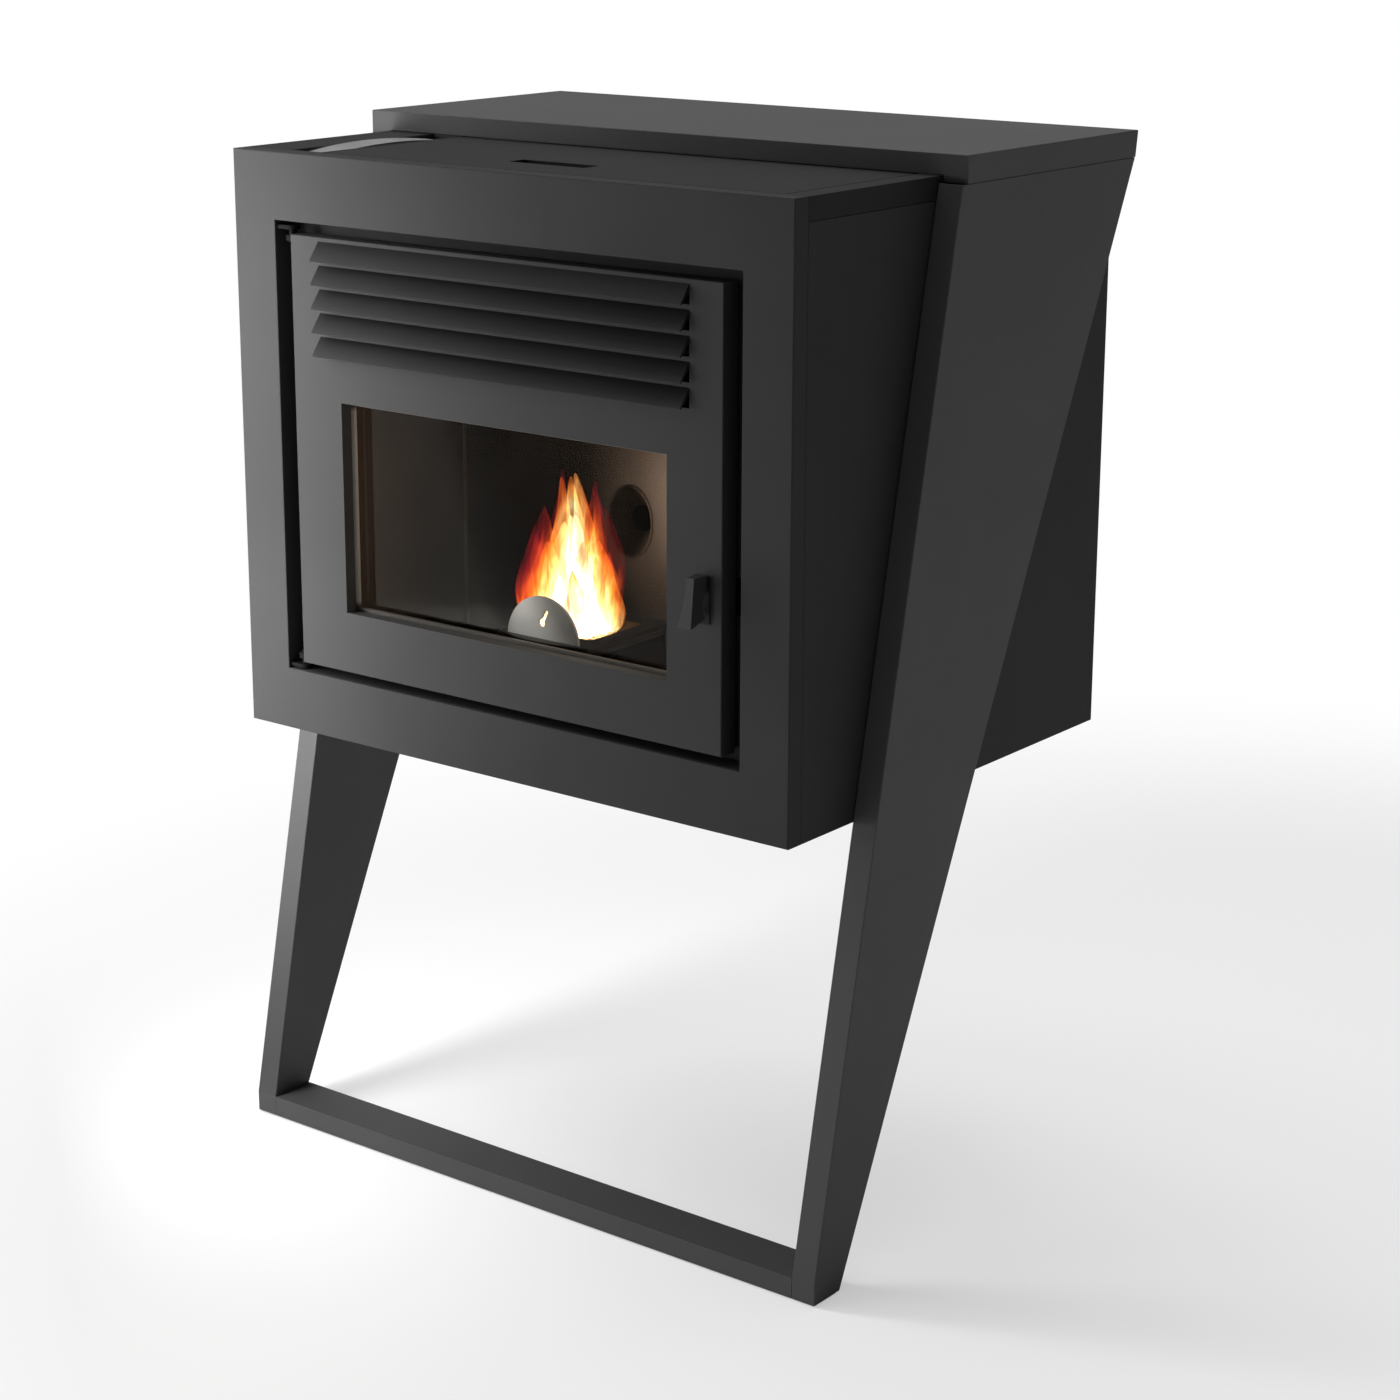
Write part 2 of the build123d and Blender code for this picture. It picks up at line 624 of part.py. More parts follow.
# The rope seal runs round the fire opening, just outside it.
SEAL_R = 4
with BuildPart() as door_seal:
    with BuildSketch(Plane.XZ.offset(-(DOOR_BACK_Y + 0.4))):
        with Locations((0, (FIRE_Z0 + FIRE_Z1) / 2)):
            RectangleRounded(2 * FIRE_HALF_W + 24, FIRE_Z1 - FIRE_Z0 + 24, 20)
            RectangleRounded(2 * FIRE_HALF_W + 8, FIRE_Z1 - FIRE_Z0 + 8, 12, mode=Mode.SUBTRACT)
    extrude(amount=-2 * SEAL_R)
    fillet(door_seal.faces().filter_by(Axis.Y).edges(), radius=SEAL_R - 0.3)
door_seal.part.label = "door_seal"
export_step(door_seal.part, "parts/door_seal.step")

# The door turns on two upright pins in the gap beside its left edge. Each pin stands in a
# bracket on the surround's jamb, and runs in a leaf on the door's return.
HINGE_X = -287
HINGE_Y = -270
HINGE_PIN_R = 4
LEAF_T = 6
TAB_T = 4
with BuildPart() as hinge_brackets:
    for tab_z in (DOOR_Z1 + 4, DOOR_Z0 - 8):
        with BuildSketch(Plane.XY.offset(tab_z)):
            rect_between((-OPENING_W / 2 + 0.1, HINGE_X), (HINGE_Y - 8, HINGE_Y + 8))
            with Locations((HINGE_X, HINGE_Y)):
                Circle(8)
                Circle(HINGE_PIN_R, mode=Mode.SUBTRACT)
        extrude(amount=TAB_T)
hinge_brackets.part.label = "hinge_brackets"
export_step(hinge_brackets.part, "parts/hinge_brackets.step")

with BuildPart() as hinge_pins:
    bar(HINGE_PIN_R, (HINGE_X, HINGE_Y, DOOR_Z1 - 10), TAB_T + 14, (0, 0, 1))
    bar(HINGE_PIN_R, (HINGE_X, HINGE_Y, DOOR_Z0 - 8), TAB_T + 14, (0, 0, 1))
hinge_pins.part.label = "hinge_pins"
export_step(hinge_pins.part, "parts/hinge_pins.step")

with BuildPart() as hinge_leaves:
    for leaf_z in (DOOR_Z1 - 8, DOOR_Z0 + 2):
        with BuildSketch(Plane.XY.offset(leaf_z)):
            with Locations(((HINGE_X - DOOR_W / 2) / 2, HINGE_Y)):
                Rectangle(-DOOR_W / 2 - HINGE_X, 14)
            with Locations((HINGE_X, HINGE_Y)):
                Circle(7)
                Circle(HINGE_PIN_R + RUNNING, mode=Mode.SUBTRACT)
        extrude(amount=LEAF_T)
hinge_leaves.part.label = "hinge_leaves"
export_step(hinge_leaves.part, "parts/hinge_leaves.step")

# ---------------------------------------------------------------- handle and latch

LEVER_RIGHT_X = 266
LEVER_Z0 = 682
LEVER_Z1 = 731
LEVER_FRONT_Y = FRONT_Y - 30
PLATE_T = 1.5
PIN_R = 3
HUB_R = 7
ARM_TIP_Y = -236
KEEPER_Y = -241
KEEPER_R = 4

# The handle plate is a thin black plate on the door with a slot for the lever's shank.
with BuildPart() as handle_plate:
    with BuildSketch(Plane.XZ.offset(-FRONT_Y)):
        with Locations((LATCH_X, 705)):
            RectangleRounded(19, 47, 1)
        with Locations((LATCH_X, PIVOT_Z + (SLOT_UP - SLOT_DOWN) / 2)):
            Rectangle(12, SLOT_UP + SLOT_DOWN, mode=Mode.SUBTRACT)
    extrude(amount=PLATE_T)
handle_plate.part.label = "handle_plate"
export_step(handle_plate.part, "parts/handle_plate.step")

# The lever is cast in one with its hub and latch arm. Its side view is a blade, and its front view
# flares to the left at the foot to give the finger a lip. A shank runs back through the door to
# the hub, and the arm reaches on under the keeper, where its flat top holds the door shut.
LEVER_BACK_Y = FRONT_Y - 6
SHANK_H = 8
with BuildPart() as handle_lever:
    with BuildSketch(Plane.YZ.offset(LEVER_RIGHT_X - 20)):
        with BuildLine():
            Line((LEVER_BACK_Y, LEVER_Z1), (LEVER_FRONT_Y + 5, LEVER_Z1))
            Line((LEVER_FRONT_Y + 5, LEVER_Z1), (LEVER_FRONT_Y, LEVER_Z0))
            Line((LEVER_FRONT_Y, LEVER_Z0), (LEVER_BACK_Y - 1, LEVER_Z0 + 7))
            ThreePointArc(
                (LEVER_BACK_Y - 1, LEVER_Z0 + 7),
                (LEVER_BACK_Y - 6, LEVER_Z0 + 20),
                (LEVER_BACK_Y, PIVOT_Z - SHANK_H / 2),
            )
            Line((LEVER_BACK_Y, PIVOT_Z - SHANK_H / 2), (LEVER_BACK_Y, LEVER_Z1))
        make_face()
    extrude(amount=20)
    with BuildSketch(Plane.XZ.offset(-FRONT_Y)):
        with BuildLine():
            Line((LEVER_RIGHT_X, LEVER_Z1), (LEVER_RIGHT_X, LEVER_Z0 - 1))
            Line((LEVER_RIGHT_X, LEVER_Z0 - 1), (LEVER_RIGHT_X - 17.5, LEVER_Z0 - 1))
            ThreePointArc(
                (LEVER_RIGHT_X - 17.5, LEVER_Z0 - 1),
                (LEVER_RIGHT_X - 12, LEVER_Z0 + 18),
                (LEVER_RIGHT_X - 9, LEVER_Z1),
            )
            Line((LEVER_RIGHT_X - 9, LEVER_Z1), (LEVER_RIGHT_X, LEVER_Z1))
        make_face()
    extrude(amount=60, mode=Mode.INTERSECT)
    with BuildSketch(Plane.YZ.offset(LATCH_X - 4.5)):
        with Locations((PIVOT_Y, PIVOT_Z)):
            Circle(HUB_R)
        rect_between(
            (LEVER_BACK_Y - 2, PIVOT_Y),
            (PIVOT_Z - SHANK_H / 2, PIVOT_Z + SHANK_H / 2),
        )
        with BuildLine():
            Polyline(
                (PIVOT_Y, PIVOT_Z + 2),
                (KEEPER_Y + 2, PIVOT_Z + 2),
                (ARM_TIP_Y, PIVOT_Z - 3),
                (ARM_TIP_Y, PIVOT_Z - 8),
                (PIVOT_Y + HUB_R, PIVOT_Z - 8),
                (PIVOT_Y, PIVOT_Z - 5),
                close=True,
            )
        make_face()
        with Locations((PIVOT_Y, PIVOT_Z)):
            Circle(PIN_R + RUNNING, mode=Mode.SUBTRACT)
    extrude(amount=9)
handle_lever.part.label = "handle_lever"
export_step(handle_lever.part, "parts/handle_lever.step")

# A folded fork on the inside of the door holds the lever's pivot pin.
with BuildPart() as pivot_fork:
    for ear_x in (LATCH_X - 8.5, LATCH_X + 6.5):
        with BuildSketch(Plane.YZ.offset(ear_x)):
            rect_between((FRONT_Y + DOOR_T, PIVOT_Y + 8), (PIVOT_Z - 8, PIVOT_Z + 8))
            with Locations((PIVOT_Y, PIVOT_Z)):
                Circle(PIN_R, mode=Mode.SUBTRACT)
        extrude(amount=2)
pivot_fork.part.label = "pivot_fork"
export_step(pivot_fork.part, "parts/pivot_fork.step")

with BuildPart() as pivot_pin:
    bar(PIN_R, (LATCH_X - 8.5, PIVOT_Y, PIVOT_Z), 17, (1, 0, 0))
pivot_pin.part.label = "pivot_pin"
export_step(pivot_pin.part, "parts/pivot_pin.step")

# The keeper is a round pin across two ears behind the bulkhead, above its notch.
with BuildPart() as latch_keeper:
    keeper_z = PIVOT_Z + 2 + 2 + KEEPER_R
    for ear_x in (LATCH_X - 13, LATCH_X + 10):
        block(
            (ear_x, ear_x + 3),
            (BULKHEAD_Y + BULKHEAD_T, KEEPER_Y + 6),
            (keeper_z - 6, keeper_z + 20),
        )
    bar(KEEPER_R, (LATCH_X - 12, KEEPER_Y, keeper_z), 24, (1, 0, 0))
latch_keeper.part.label = "latch_keeper"
export_step(latch_keeper.part, "parts/latch_keeper.step")

# ---------------------------------------------------------------- fire

SMOKE_X = 140
SMOKE_Z = 590
INTAKE_Y = -145
slope_y = cos(radians(CHUTE_SLOPE))
slope_z = sin(radians(CHUTE_SLOPE))
CHUTE_DIR = (0, slope_y, slope_z)

MOUTH_HALF_W = 27.2
MOUTH_HALF_H = 36.9
MOUTH_HOLE_R = 14.3
MOUTH_D = 21
MOUTH_LIP = 2.2


def oval_hole(y, depth, grow):
    """Cuts an upright oval, as far outside the dish's as grow says, from y towards the back."""
    with BuildSketch(Plane.XZ.offset(-y)) as oval:
        with Locations((0, CHUTE_Z)):
            Ellipse(MOUTH_HALF_W + grow, MOUTH_HALF_H + grow)
    extrude(oval.sketch, amount=-depth, mode=Mode.SUBTRACT)


# The firebox is welded from plate and open to the front. Its back has the chute's oval hole, the
# smoke outlet and the igniter's hole, and its floor has the combustion air hole.
with BuildPart() as firebox:
    block(
        (-FIREBOX_HALF_W - FIREBOX_T, FIREBOX_HALF_W + FIREBOX_T),
        (BULKHEAD_Y + BULKHEAD_T, FIREBOX_BACK_Y + FIREBOX_T),
        (FIREBOX_Z0 - FIREBOX_T, FIREBOX_Z1 + FIREBOX_T),
    )
    fire_mouth = firebox.faces().sort_by(Axis.Y)[0]
    offset(amount=-FIREBOX_T, openings=fire_mouth, kind=Kind.INTERSECTION)
    oval_hole(FIREBOX_BACK_Y - 1, FIREBOX_T + 2, -0.6)
    block(
        (SMOKE_X - 33, SMOKE_X + 33),
        (FIREBOX_BACK_Y - 1, FIREBOX_BACK_Y + FIREBOX_T + 1),
        (SMOKE_Z - 22, SMOKE_Z + 22),
        Mode.SUBTRACT,
    )
    bar(7, (26, FIREBOX_BACK_Y - 1, 583), FIREBOX_T + 2, (0, 1, 0), Mode.SUBTRACT)
    bar(AIR_R - 2, (0, INTAKE_Y, FIREBOX_Z0 - FIREBOX_T - 1), FIREBOX_T + 2, (0, 0, 1),
        Mode.SUBTRACT)
firebox.part.label = "firebox"
export_step(firebox.part, "parts/firebox.step")

# The liner is one thin steel sheet folded into a U against the firebox's sides and back.
with BuildPart() as firebox_liner:
    liner_w = 2 * FIREBOX_HALF_W - 0.4
    with BuildSketch(Plane.XY.offset(FIREBOX_Z0 + 0.2)):
        rect_between((-liner_w / 2, liner_w / 2), (BULKHEAD_Y + 6, FIREBOX_BACK_Y - 0.2))
        with Locations((0, (BULKHEAD_Y + 6 + FIREBOX_BACK_Y - 0.2 - LINER_T) / 2 - 1)):
            Rectangle(
                liner_w - 2 * LINER_T,
                FIREBOX_BACK_Y - 0.2 - LINER_T - BULKHEAD_Y - 6 + 2,
                mode=Mode.SUBTRACT,
            )
    extrude(amount=FIREBOX_Z1 - FIREBOX_Z0 - 0.4)
    oval_hole(FIREBOX_BACK_Y - 4, 5, 0.6)
    block(
        (SMOKE_X - 33, SMOKE_X + 33),
        (FIREBOX_BACK_Y - 4, FIREBOX_BACK_Y + 1),
        (SMOKE_Z - 22, SMOKE_Z + 22),
        Mode.SUBTRACT,
    )
    bar(7, (26, FIREBOX_BACK_Y - 4, 583), 5, (0, 1, 0), Mode.SUBTRACT)
firebox_liner.part.label = "firebox_liner"
export_step(firebox_liner.part, "parts/firebox_liner.step")

# The chute's mouth is a pressed oval dish set in the liner. It narrows to a round hole behind.
MOUTH_Y = FIREBOX_BACK_Y - 0.2 - LINER_T - 2
with BuildPart() as chute_mouth:
    with BuildSketch(Plane.XZ.offset(-MOUTH_Y)):
        with Locations((0, CHUTE_Z)):
            Ellipse(MOUTH_HALF_W + MOUTH_LIP, MOUTH_HALF_H + MOUTH_LIP)
    extrude(amount=-1.9)
    for grow, over, mode in ((1.2, 0, Mode.ADD), (0, 0.01, Mode.SUBTRACT)):
        with BuildSketch(Plane.XZ.offset(-(MOUTH_Y - over))) as dish_front:
            with Locations((0, CHUTE_Z)):
                Ellipse(MOUTH_HALF_W + grow, MOUTH_HALF_H + grow)
        with BuildSketch(Plane.XZ.offset(-(MOUTH_Y + MOUTH_D + over))) as dish_rear:
            with Locations((0, CHUTE_Z)):
                Ellipse(MOUTH_HOLE_R + grow, MOUTH_HOLE_R + grow + 0.01)
        loft([dish_front.sketch, dish_rear.sketch], ruled=True, mode=mode)
chute_mouth.part.label = "chute_mouth"
export_step(chute_mouth.part, "parts/chute_mouth.step")

# The baffle is a sloped plate under the firebox's roof that makes the smoke turn forwards.
with BuildPart() as baffle_plate:
    with BuildSketch(Plane.YZ.offset(-FIREBOX_HALF_W + 5)):
        with BuildLine():
            Polyline(
                (FIREBOX_BACK_Y - 4, 838),
                (FIREBOX_BACK_Y - 4, 841),
                (BULKHEAD_Y + 60, 861),
                (BULKHEAD_Y + 60, 858),
                close=True,
            )
        make_face()
    extrude(amount=2 * FIREBOX_HALF_W - 10)
baffle_plate.part.label = "baffle_plate"
export_step(baffle_plate.part, "parts/baffle_plate.step")

# The pot seat is a welded box on the firebox's floor. The burn pot hangs in it by its rim.
POT_REAR_Y = -79
POT_FRONT_Y = -216
POT_BULGE = 12
RIM_T = 10
SEAT_Y0 = -208
SEAT_Y1 = -84
SEAT_HALF_W = 56
with BuildPart() as pot_seat:
    block((-SEAT_HALF_W, SEAT_HALF_W), (SEAT_Y0, SEAT_Y1),
          (FIREBOX_Z0, POT_TOP_Z - RIM_T))
    seat_top = pot_seat.faces().sort_by(Axis.Z)[-1]
    seat_bottom = pot_seat.faces().sort_by(Axis.Z)[0]
    offset(amount=-4, openings=[seat_top, seat_bottom], kind=Kind.INTERSECTION)
    bar(7, (26, SEAT_Y1 - 6, 583), 8, (0, 1, 0), Mode.SUBTRACT)
    with BuildSketch(Plane.YZ.offset(SEAT_HALF_W - 6)):
        with Locations((-172, 590)):
            SlotOverall(16, 4)
    extrude(amount=8, mode=Mode.SUBTRACT)
pot_seat.part.label = "pot_seat"
export_step(pot_seat.part, "parts/pot_seat.step")

# The burn pot is cast iron: a two-stepped rim with a bowed front, a deep cup and a grate of holes.
CUP_HALF_W = 48
CUP_WALL = 5
with BuildPart() as burn_pot:
    for step_z, step_t, grow in ((POT_TOP_Z - RIM_T, 5, 3), (POT_TOP_Z - 5, 5, 0)):
        with BuildSketch(Plane.XY.offset(step_z)):
            with BuildLine():
                half_w = POT_HALF_W + grow
                front_y = POT_FRONT_Y - grow
                Line((-half_w, POT_REAR_Y), (half_w, POT_REAR_Y))
                Line((half_w, POT_REAR_Y), (half_w, front_y))
                ThreePointArc((half_w, front_y), (0, front_y - POT_BULGE), (-half_w, front_y))
                Line((-half_w, front_y), (-half_w, POT_REAR_Y))
            make_face()
        extrude(amount=step_t)
    corners = burn_pot.edges().filter_by(Axis.Z).group_by(Axis.Y)[0]
    fillet(corners, radius=9)
    with BuildSketch(Plane.XY.offset(566)):
        with Locations((0, POT_Y)):
            RectangleRounded(2 * CUP_HALF_W, 2 * CUP_HALF_W, 10)
    extrude(amount=POT_TOP_Z - RIM_T - 566)
    with BuildSketch(Plane.XY.offset(566 + CUP_WALL)):
        with Locations((0, POT_Y)):
            RectangleRounded(2 * (CUP_HALF_W - CUP_WALL), 2 * (CUP_HALF_W - CUP_WALL), 6)
    extrude(amount=POT_TOP_Z - 566, mode=Mode.SUBTRACT)
    with BuildSketch(Plane.XY.offset(566)):
        with Locations((0, POT_Y)):
            with GridLocations(16, 16, 4, 4):
                Circle(3)
    extrude(amount=CUP_WALL, mode=Mode.SUBTRACT)
    bar(6, (26, POT_Y + CUP_HALF_W - CUP_WALL - 1, 583), CUP_WALL + 2, (0, 1, 0), Mode.SUBTRACT)
burn_pot.part.label = "burn_pot"
export_step(burn_pot.part, "parts/burn_pot.step")

# The deflector is a polished half disc on the rim, with a slanted keyhole for the lifting tool.
DEFLECTOR_Y = -212
with BuildPart() as pot_deflector:
    with BuildSketch(Plane.XZ.offset(-DEFLECTOR_Y)):
        with Locations((0, POT_TOP_Z - 3)):
            Circle(DEFLECTOR_R)
        with Locations((0, POT_TOP_Z - 50)):
            Rectangle(2 * DEFLECTOR_R + 2, 100, mode=Mode.SUBTRACT)
        with Locations((2, 633)):
            SlotCenterToCenter(13, 4.5, rotation=62, mode=Mode.SUBTRACT)
        with Locations((-1.5, 626.5)):
            Circle(4.2, mode=Mode.SUBTRACT)
    extrude(amount=3)
pot_deflector.part.label = "pot_deflector"
export_step(pot_deflector.part, "parts/pot_deflector.step")

with BuildPart() as igniter:
    bar(5, (26, CUP_HALF_W + POT_Y + 3, 583), 100, (0, 1, 0))
    bar(6.9, (26, FIREBOX_BACK_Y + 0.2, 583), 26, (0, 1, 0))
igniter.part.label = "igniter"
export_step(igniter.part, "parts/igniter.step")

# The combustion air pipe runs in from the back, turns up and ends under the pot seat. Its end
# outside the casing is wider, so that a hose can be pushed on as far as the back.
PIPE_R = AIR_R - 1.5
with BuildPart() as air_pipe:
    with BuildLine() as air_path:
        Line((0, BACK_Y, AIR_Z), (0, INTAKE_Y + 30, AIR_Z))
        ThreePointArc(
            (0, INTAKE_Y + 30, AIR_Z),
            (0, INTAKE_Y + 30 - 30 * sqrt(0.5), AIR_Z + 30 - 30 * sqrt(0.5)),
            (0, INTAKE_Y, AIR_Z + 30),
        )
        Line((0, INTAKE_Y, AIR_Z + 30), (0, INTAKE_Y, FIREBOX_Z0 - FIREBOX_T))
    with BuildSketch(Plane(origin=(0, BACK_Y, AIR_Z), z_dir=(0, -1, 0))):
        Circle(PIPE_R)
        Circle(PIPE_R - 1.5, mode=Mode.SUBTRACT)
    sweep(path=air_path.line)
    with BuildSketch(Plane.XZ.offset(-BACK_Y)):
        with Locations((0, AIR_Z)):
            Circle(AIR_R)
            Circle(PIPE_R - 1.5, mode=Mode.SUBTRACT)
    extrude(amount=-SPIGOT_OUT)
air_pipe.part.label = "air_pipe"
export_step(air_pipe.part, "parts/air_pipe.step")

# ---------------------------------------------------------------- smoke

FAN_Y0 = 180
FAN_D = 50
FAN_R = 66
# The smoke duct is a square tube of folded sheet from the firebox's outlet to the fan's round eye.
DUCT_W = 70
DUCT_H = 60
with BuildPart() as smoke_duct:
    with BuildSketch(Plane.XZ.offset(-(FIREBOX_BACK_Y + FIREBOX_T))):
        with Locations((SMOKE_X, SMOKE_Z)):
            RectangleRounded(DUCT_W, DUCT_H, 4)
            RectangleRounded(DUCT_W - 3, DUCT_H - 3, 2.5, mode=Mode.SUBTRACT)
    extrude(amount=-(FAN_Y0 - 0.2 - FIREBOX_BACK_Y - FIREBOX_T))
smoke_duct.part.label = "smoke_duct"
export_step(smoke_duct.part, "parts/smoke_duct.step")

# The fan housing is a cast scroll whose outlet runs to the right into a box behind the flue.
with BuildPart() as flue_fan_housing:
    for grow, y0, y1, mode in (
        (0, FAN_Y0, FAN_Y0 + FAN_D, Mode.ADD),
        (-3, FAN_Y0 + 3, FAN_Y0 + FAN_D - 3, Mode.SUBTRACT),
    ):
        with BuildSketch(Plane.XZ.offset(-y0)):
            with Locations((SMOKE_X, SMOKE_Z)):
                Circle(FAN_R + grow)
            rect_between(
                (SMOKE_X, FLUE_X + 48 + grow),
                (SMOKE_Z - FAN_R - grow, FLUE_Z + 48 + grow),
            )
        extrude(amount=-(y1 - y0), mode=mode)
    bar(28, (SMOKE_X, FAN_Y0 - 1, SMOKE_Z), 5, (0, 1, 0), Mode.SUBTRACT)
    bar(5, (SMOKE_X, FAN_Y0 + FAN_D - 4, SMOKE_Z), 5, (0, 1, 0), Mode.SUBTRACT)
    bar(FLUE_R - 2, (FLUE_X, FAN_Y0 + FAN_D - 4, FLUE_Z), 5, (0, 1, 0), Mode.SUBTRACT)
flue_fan_housing.part.label = "flue_fan_housing"
export_step(flue_fan_housing.part, "parts/flue_fan_housing.step")

# The flue spigot is flanged to the fan's outlet. Outside the casing it steps up to the size that
# takes the flue pipe.
SPIGOT_R = FLUE_R - 1.5
with BuildPart() as flue_spigot:
    for radius, start_y, end_y in (
        (FLUE_R + 6, FAN_Y0 + FAN_D, FAN_Y0 + FAN_D + 3),
        (SPIGOT_R, FAN_Y0 + FAN_D, BACK_Y),
        (FLUE_R, BACK_Y, BACK_Y + SPIGOT_OUT),
    ):
        with BuildSketch(Plane.XZ.offset(-start_y)):
            with Locations((FLUE_X, FLUE_Z)):
                Circle(radius)
                Circle(SPIGOT_R - 1.5, mode=Mode.SUBTRACT)
        extrude(amount=-(end_y - start_y))
flue_spigot.part.label = "flue_spigot"
export_step(flue_spigot.part, "parts/flue_spigot.step")

# The flue fan's wheel has straight paddles on a back disc, a hub and the motor's shaft.
FLUE_BLADES = 10
FLUE_SHAFT_R = 4
with BuildPart() as flue_fan_wheel:
    bar(54, (SMOKE_X, FAN_Y0 + FAN_D - 8, SMOKE_Z), 2, (0, 1, 0))
    bar(12, (SMOKE_X, FAN_Y0 + 12, SMOKE_Z), FAN_D - 19, (0, 1, 0))
    bar(FLUE_SHAFT_R, (SMOKE_X, FAN_Y0 + 10, SMOKE_Z), FAN_D + 10, (0, 1, 0))
    with BuildSketch(Plane.XZ.offset(-(FAN_Y0 + 12))):
        with Locations((SMOKE_X, SMOKE_Z)):
            with PolarLocations(32, FLUE_BLADES):
                Rectangle(42, 2)
    extrude(amount=-(FAN_D - 19))
flue_fan_wheel.part.label = "flue_fan_wheel"
export_step(flue_fan_wheel.part, "parts/flue_fan_wheel.step")

with BuildPart() as flue_fan_motor:
    bar(34, (SMOKE_X, FAN_Y0 + FAN_D + 0.2, SMOKE_Z), 36, (0, 1, 0))
    bar(FLUE_SHAFT_R + RUNNING, (SMOKE_X, FAN_Y0 + FAN_D, SMOKE_Z), 22, (0, 1, 0), Mode.SUBTRACT)
    fillet(flue_fan_motor.faces().sort_by(Axis.Y)[-1].edges(), radius=4)
flue_fan_motor.part.label = "flue_fan_motor"
export_step(flue_fan_motor.part, "parts/flue_fan_motor.step")

# ---------------------------------------------------------------- fuel

FEED_Y = 150
JOIN_Y = 21.4
JOIN_Z = CHUTE_Z + (JOIN_Y - FIREBOX_BACK_Y) * slope_z / slope_y
AUGER_DIR = (0, slope_y, -slope_z)
AUGER_TOP_Y = JOIN_Y - 27
AUGER_END_Y = 200
FEED_Z = JOIN_Z - (FEED_Y - JOIN_Y) * slope_z / slope_y


def on_auger(y):
    """The point of the auger's axis at this Y."""
    return (0, y, JOIN_Z - (y - JOIN_Y) * slope_z / slope_y)


# The hopper is a folded funnel whose wide mouth lies under the lid and the cover. Its solid is
# where its front view and its side view overlap, and it is then opened at both ends.
HOPPER_TOP_Z = 1066
NECK_Z = 748
NECK_X = (-30, 30)
NECK_Y = (FEED_Y - 25, FEED_Y + 25)
HOPPER_X = (-240, 316)
HOPPER_Y = (-205, 190)
HOPPER_T = 1.5
with BuildPart() as hopper:
    for view, neck, mouth, mode in (
        (Plane.XZ, NECK_X, HOPPER_X, Mode.ADD),
        (Plane.YZ, NECK_Y, HOPPER_Y, Mode.INTERSECT),
    ):
        with BuildSketch(view):
            with BuildLine():
                Polyline(
                    (neck[0], NECK_Z),
                    (neck[1], NECK_Z),
                    (mouth[1], HOPPER_TOP_Z),
                    (mouth[0], HOPPER_TOP_Z),
                    close=True,
                )
            make_face()
        extrude(amount=400, both=True, mode=mode)
    funnel_ends = hopper.faces().filter_by(Axis.Z)
    offset(amount=-HOPPER_T, openings=funnel_ends, kind=Kind.INTERSECTION)
hopper.part.label = "hopper"
export_step(hopper.part, "parts/hopper.step")

# The feed tube is welded from the auger's tube, the drop chute that ends on the firebox's back
# and a square neck that takes the hopper.
with BuildPart() as feed_tube:
    tube_len = (AUGER_END_Y - AUGER_TOP_Y) / slope_y
    chute_len = (JOIN_Y - FIREBOX_BACK_Y) / slope_y
    bar(CHUTE_R + TUBE_T, on_auger(AUGER_TOP_Y), tube_len, AUGER_DIR)
    chute_out = 40
    chute_start = (0, FIREBOX_BACK_Y - chute_out, CHUTE_Z - chute_out * slope_z / slope_y)
    bar(CHUTE_R + TUBE_T, chute_start, chute_len + chute_out / slope_y, CHUTE_DIR)
    block((-30, 30), (FEED_Y - 25, FEED_Y + 25), (FEED_Z, NECK_Z))
    bar(CHUTE_R, on_auger(AUGER_TOP_Y + 2), tube_len - 4 / slope_y, AUGER_DIR, Mode.SUBTRACT)
    bar(CHUTE_R, chute_start, chute_len + chute_out / slope_y, CHUTE_DIR, Mode.SUBTRACT)
    block((-28, 28), (FEED_Y - 23, FEED_Y + 23), (FEED_Z, NECK_Z + 1), Mode.SUBTRACT)
    block(
        (-60, 60),
        (FIREBOX_BACK_Y - 90, FIREBOX_BACK_Y + FIREBOX_T + 0.2),
        (600, 780),
        Mode.SUBTRACT,
    )
    bar(AUGER_SHAFT_R + 1, on_auger(AUGER_END_Y - 5), 12, AUGER_DIR, Mode.SUBTRACT)
feed_tube.part.label = "feed_tube"
export_step(feed_tube.part, "parts/feed_tube.step")

# The auger is a shaft with a flight wound round it at an even pitch.
with BuildPart() as auger:
    auger_len = (AUGER_END_Y - AUGER_TOP_Y) / slope_y - 12
    auger_frame = Plane(origin=on_auger(AUGER_TOP_Y + 5), x_dir=(1, 0, 0), z_dir=AUGER_DIR)
    turns = 5
    with BuildSketch(auger_frame):
        Circle(AUGER_SHAFT_R)
    extrude(amount=auger_len + 30)
    flight_r = (AUGER_R + AUGER_SHAFT_R) / 2 - 0.5
    flight = auger_frame.location * Helix(AUGER_PITCH, AUGER_PITCH * turns, flight_r)
    with BuildSketch(Plane(origin=flight @ 0, x_dir=auger_frame.x_dir, z_dir=flight % 0)):
        Rectangle(AUGER_R - AUGER_SHAFT_R + 1, 3)
    sweep(path=flight, is_frenet=True)
auger.part.label = "auger"
export_step(auger.part, "parts/auger.step")

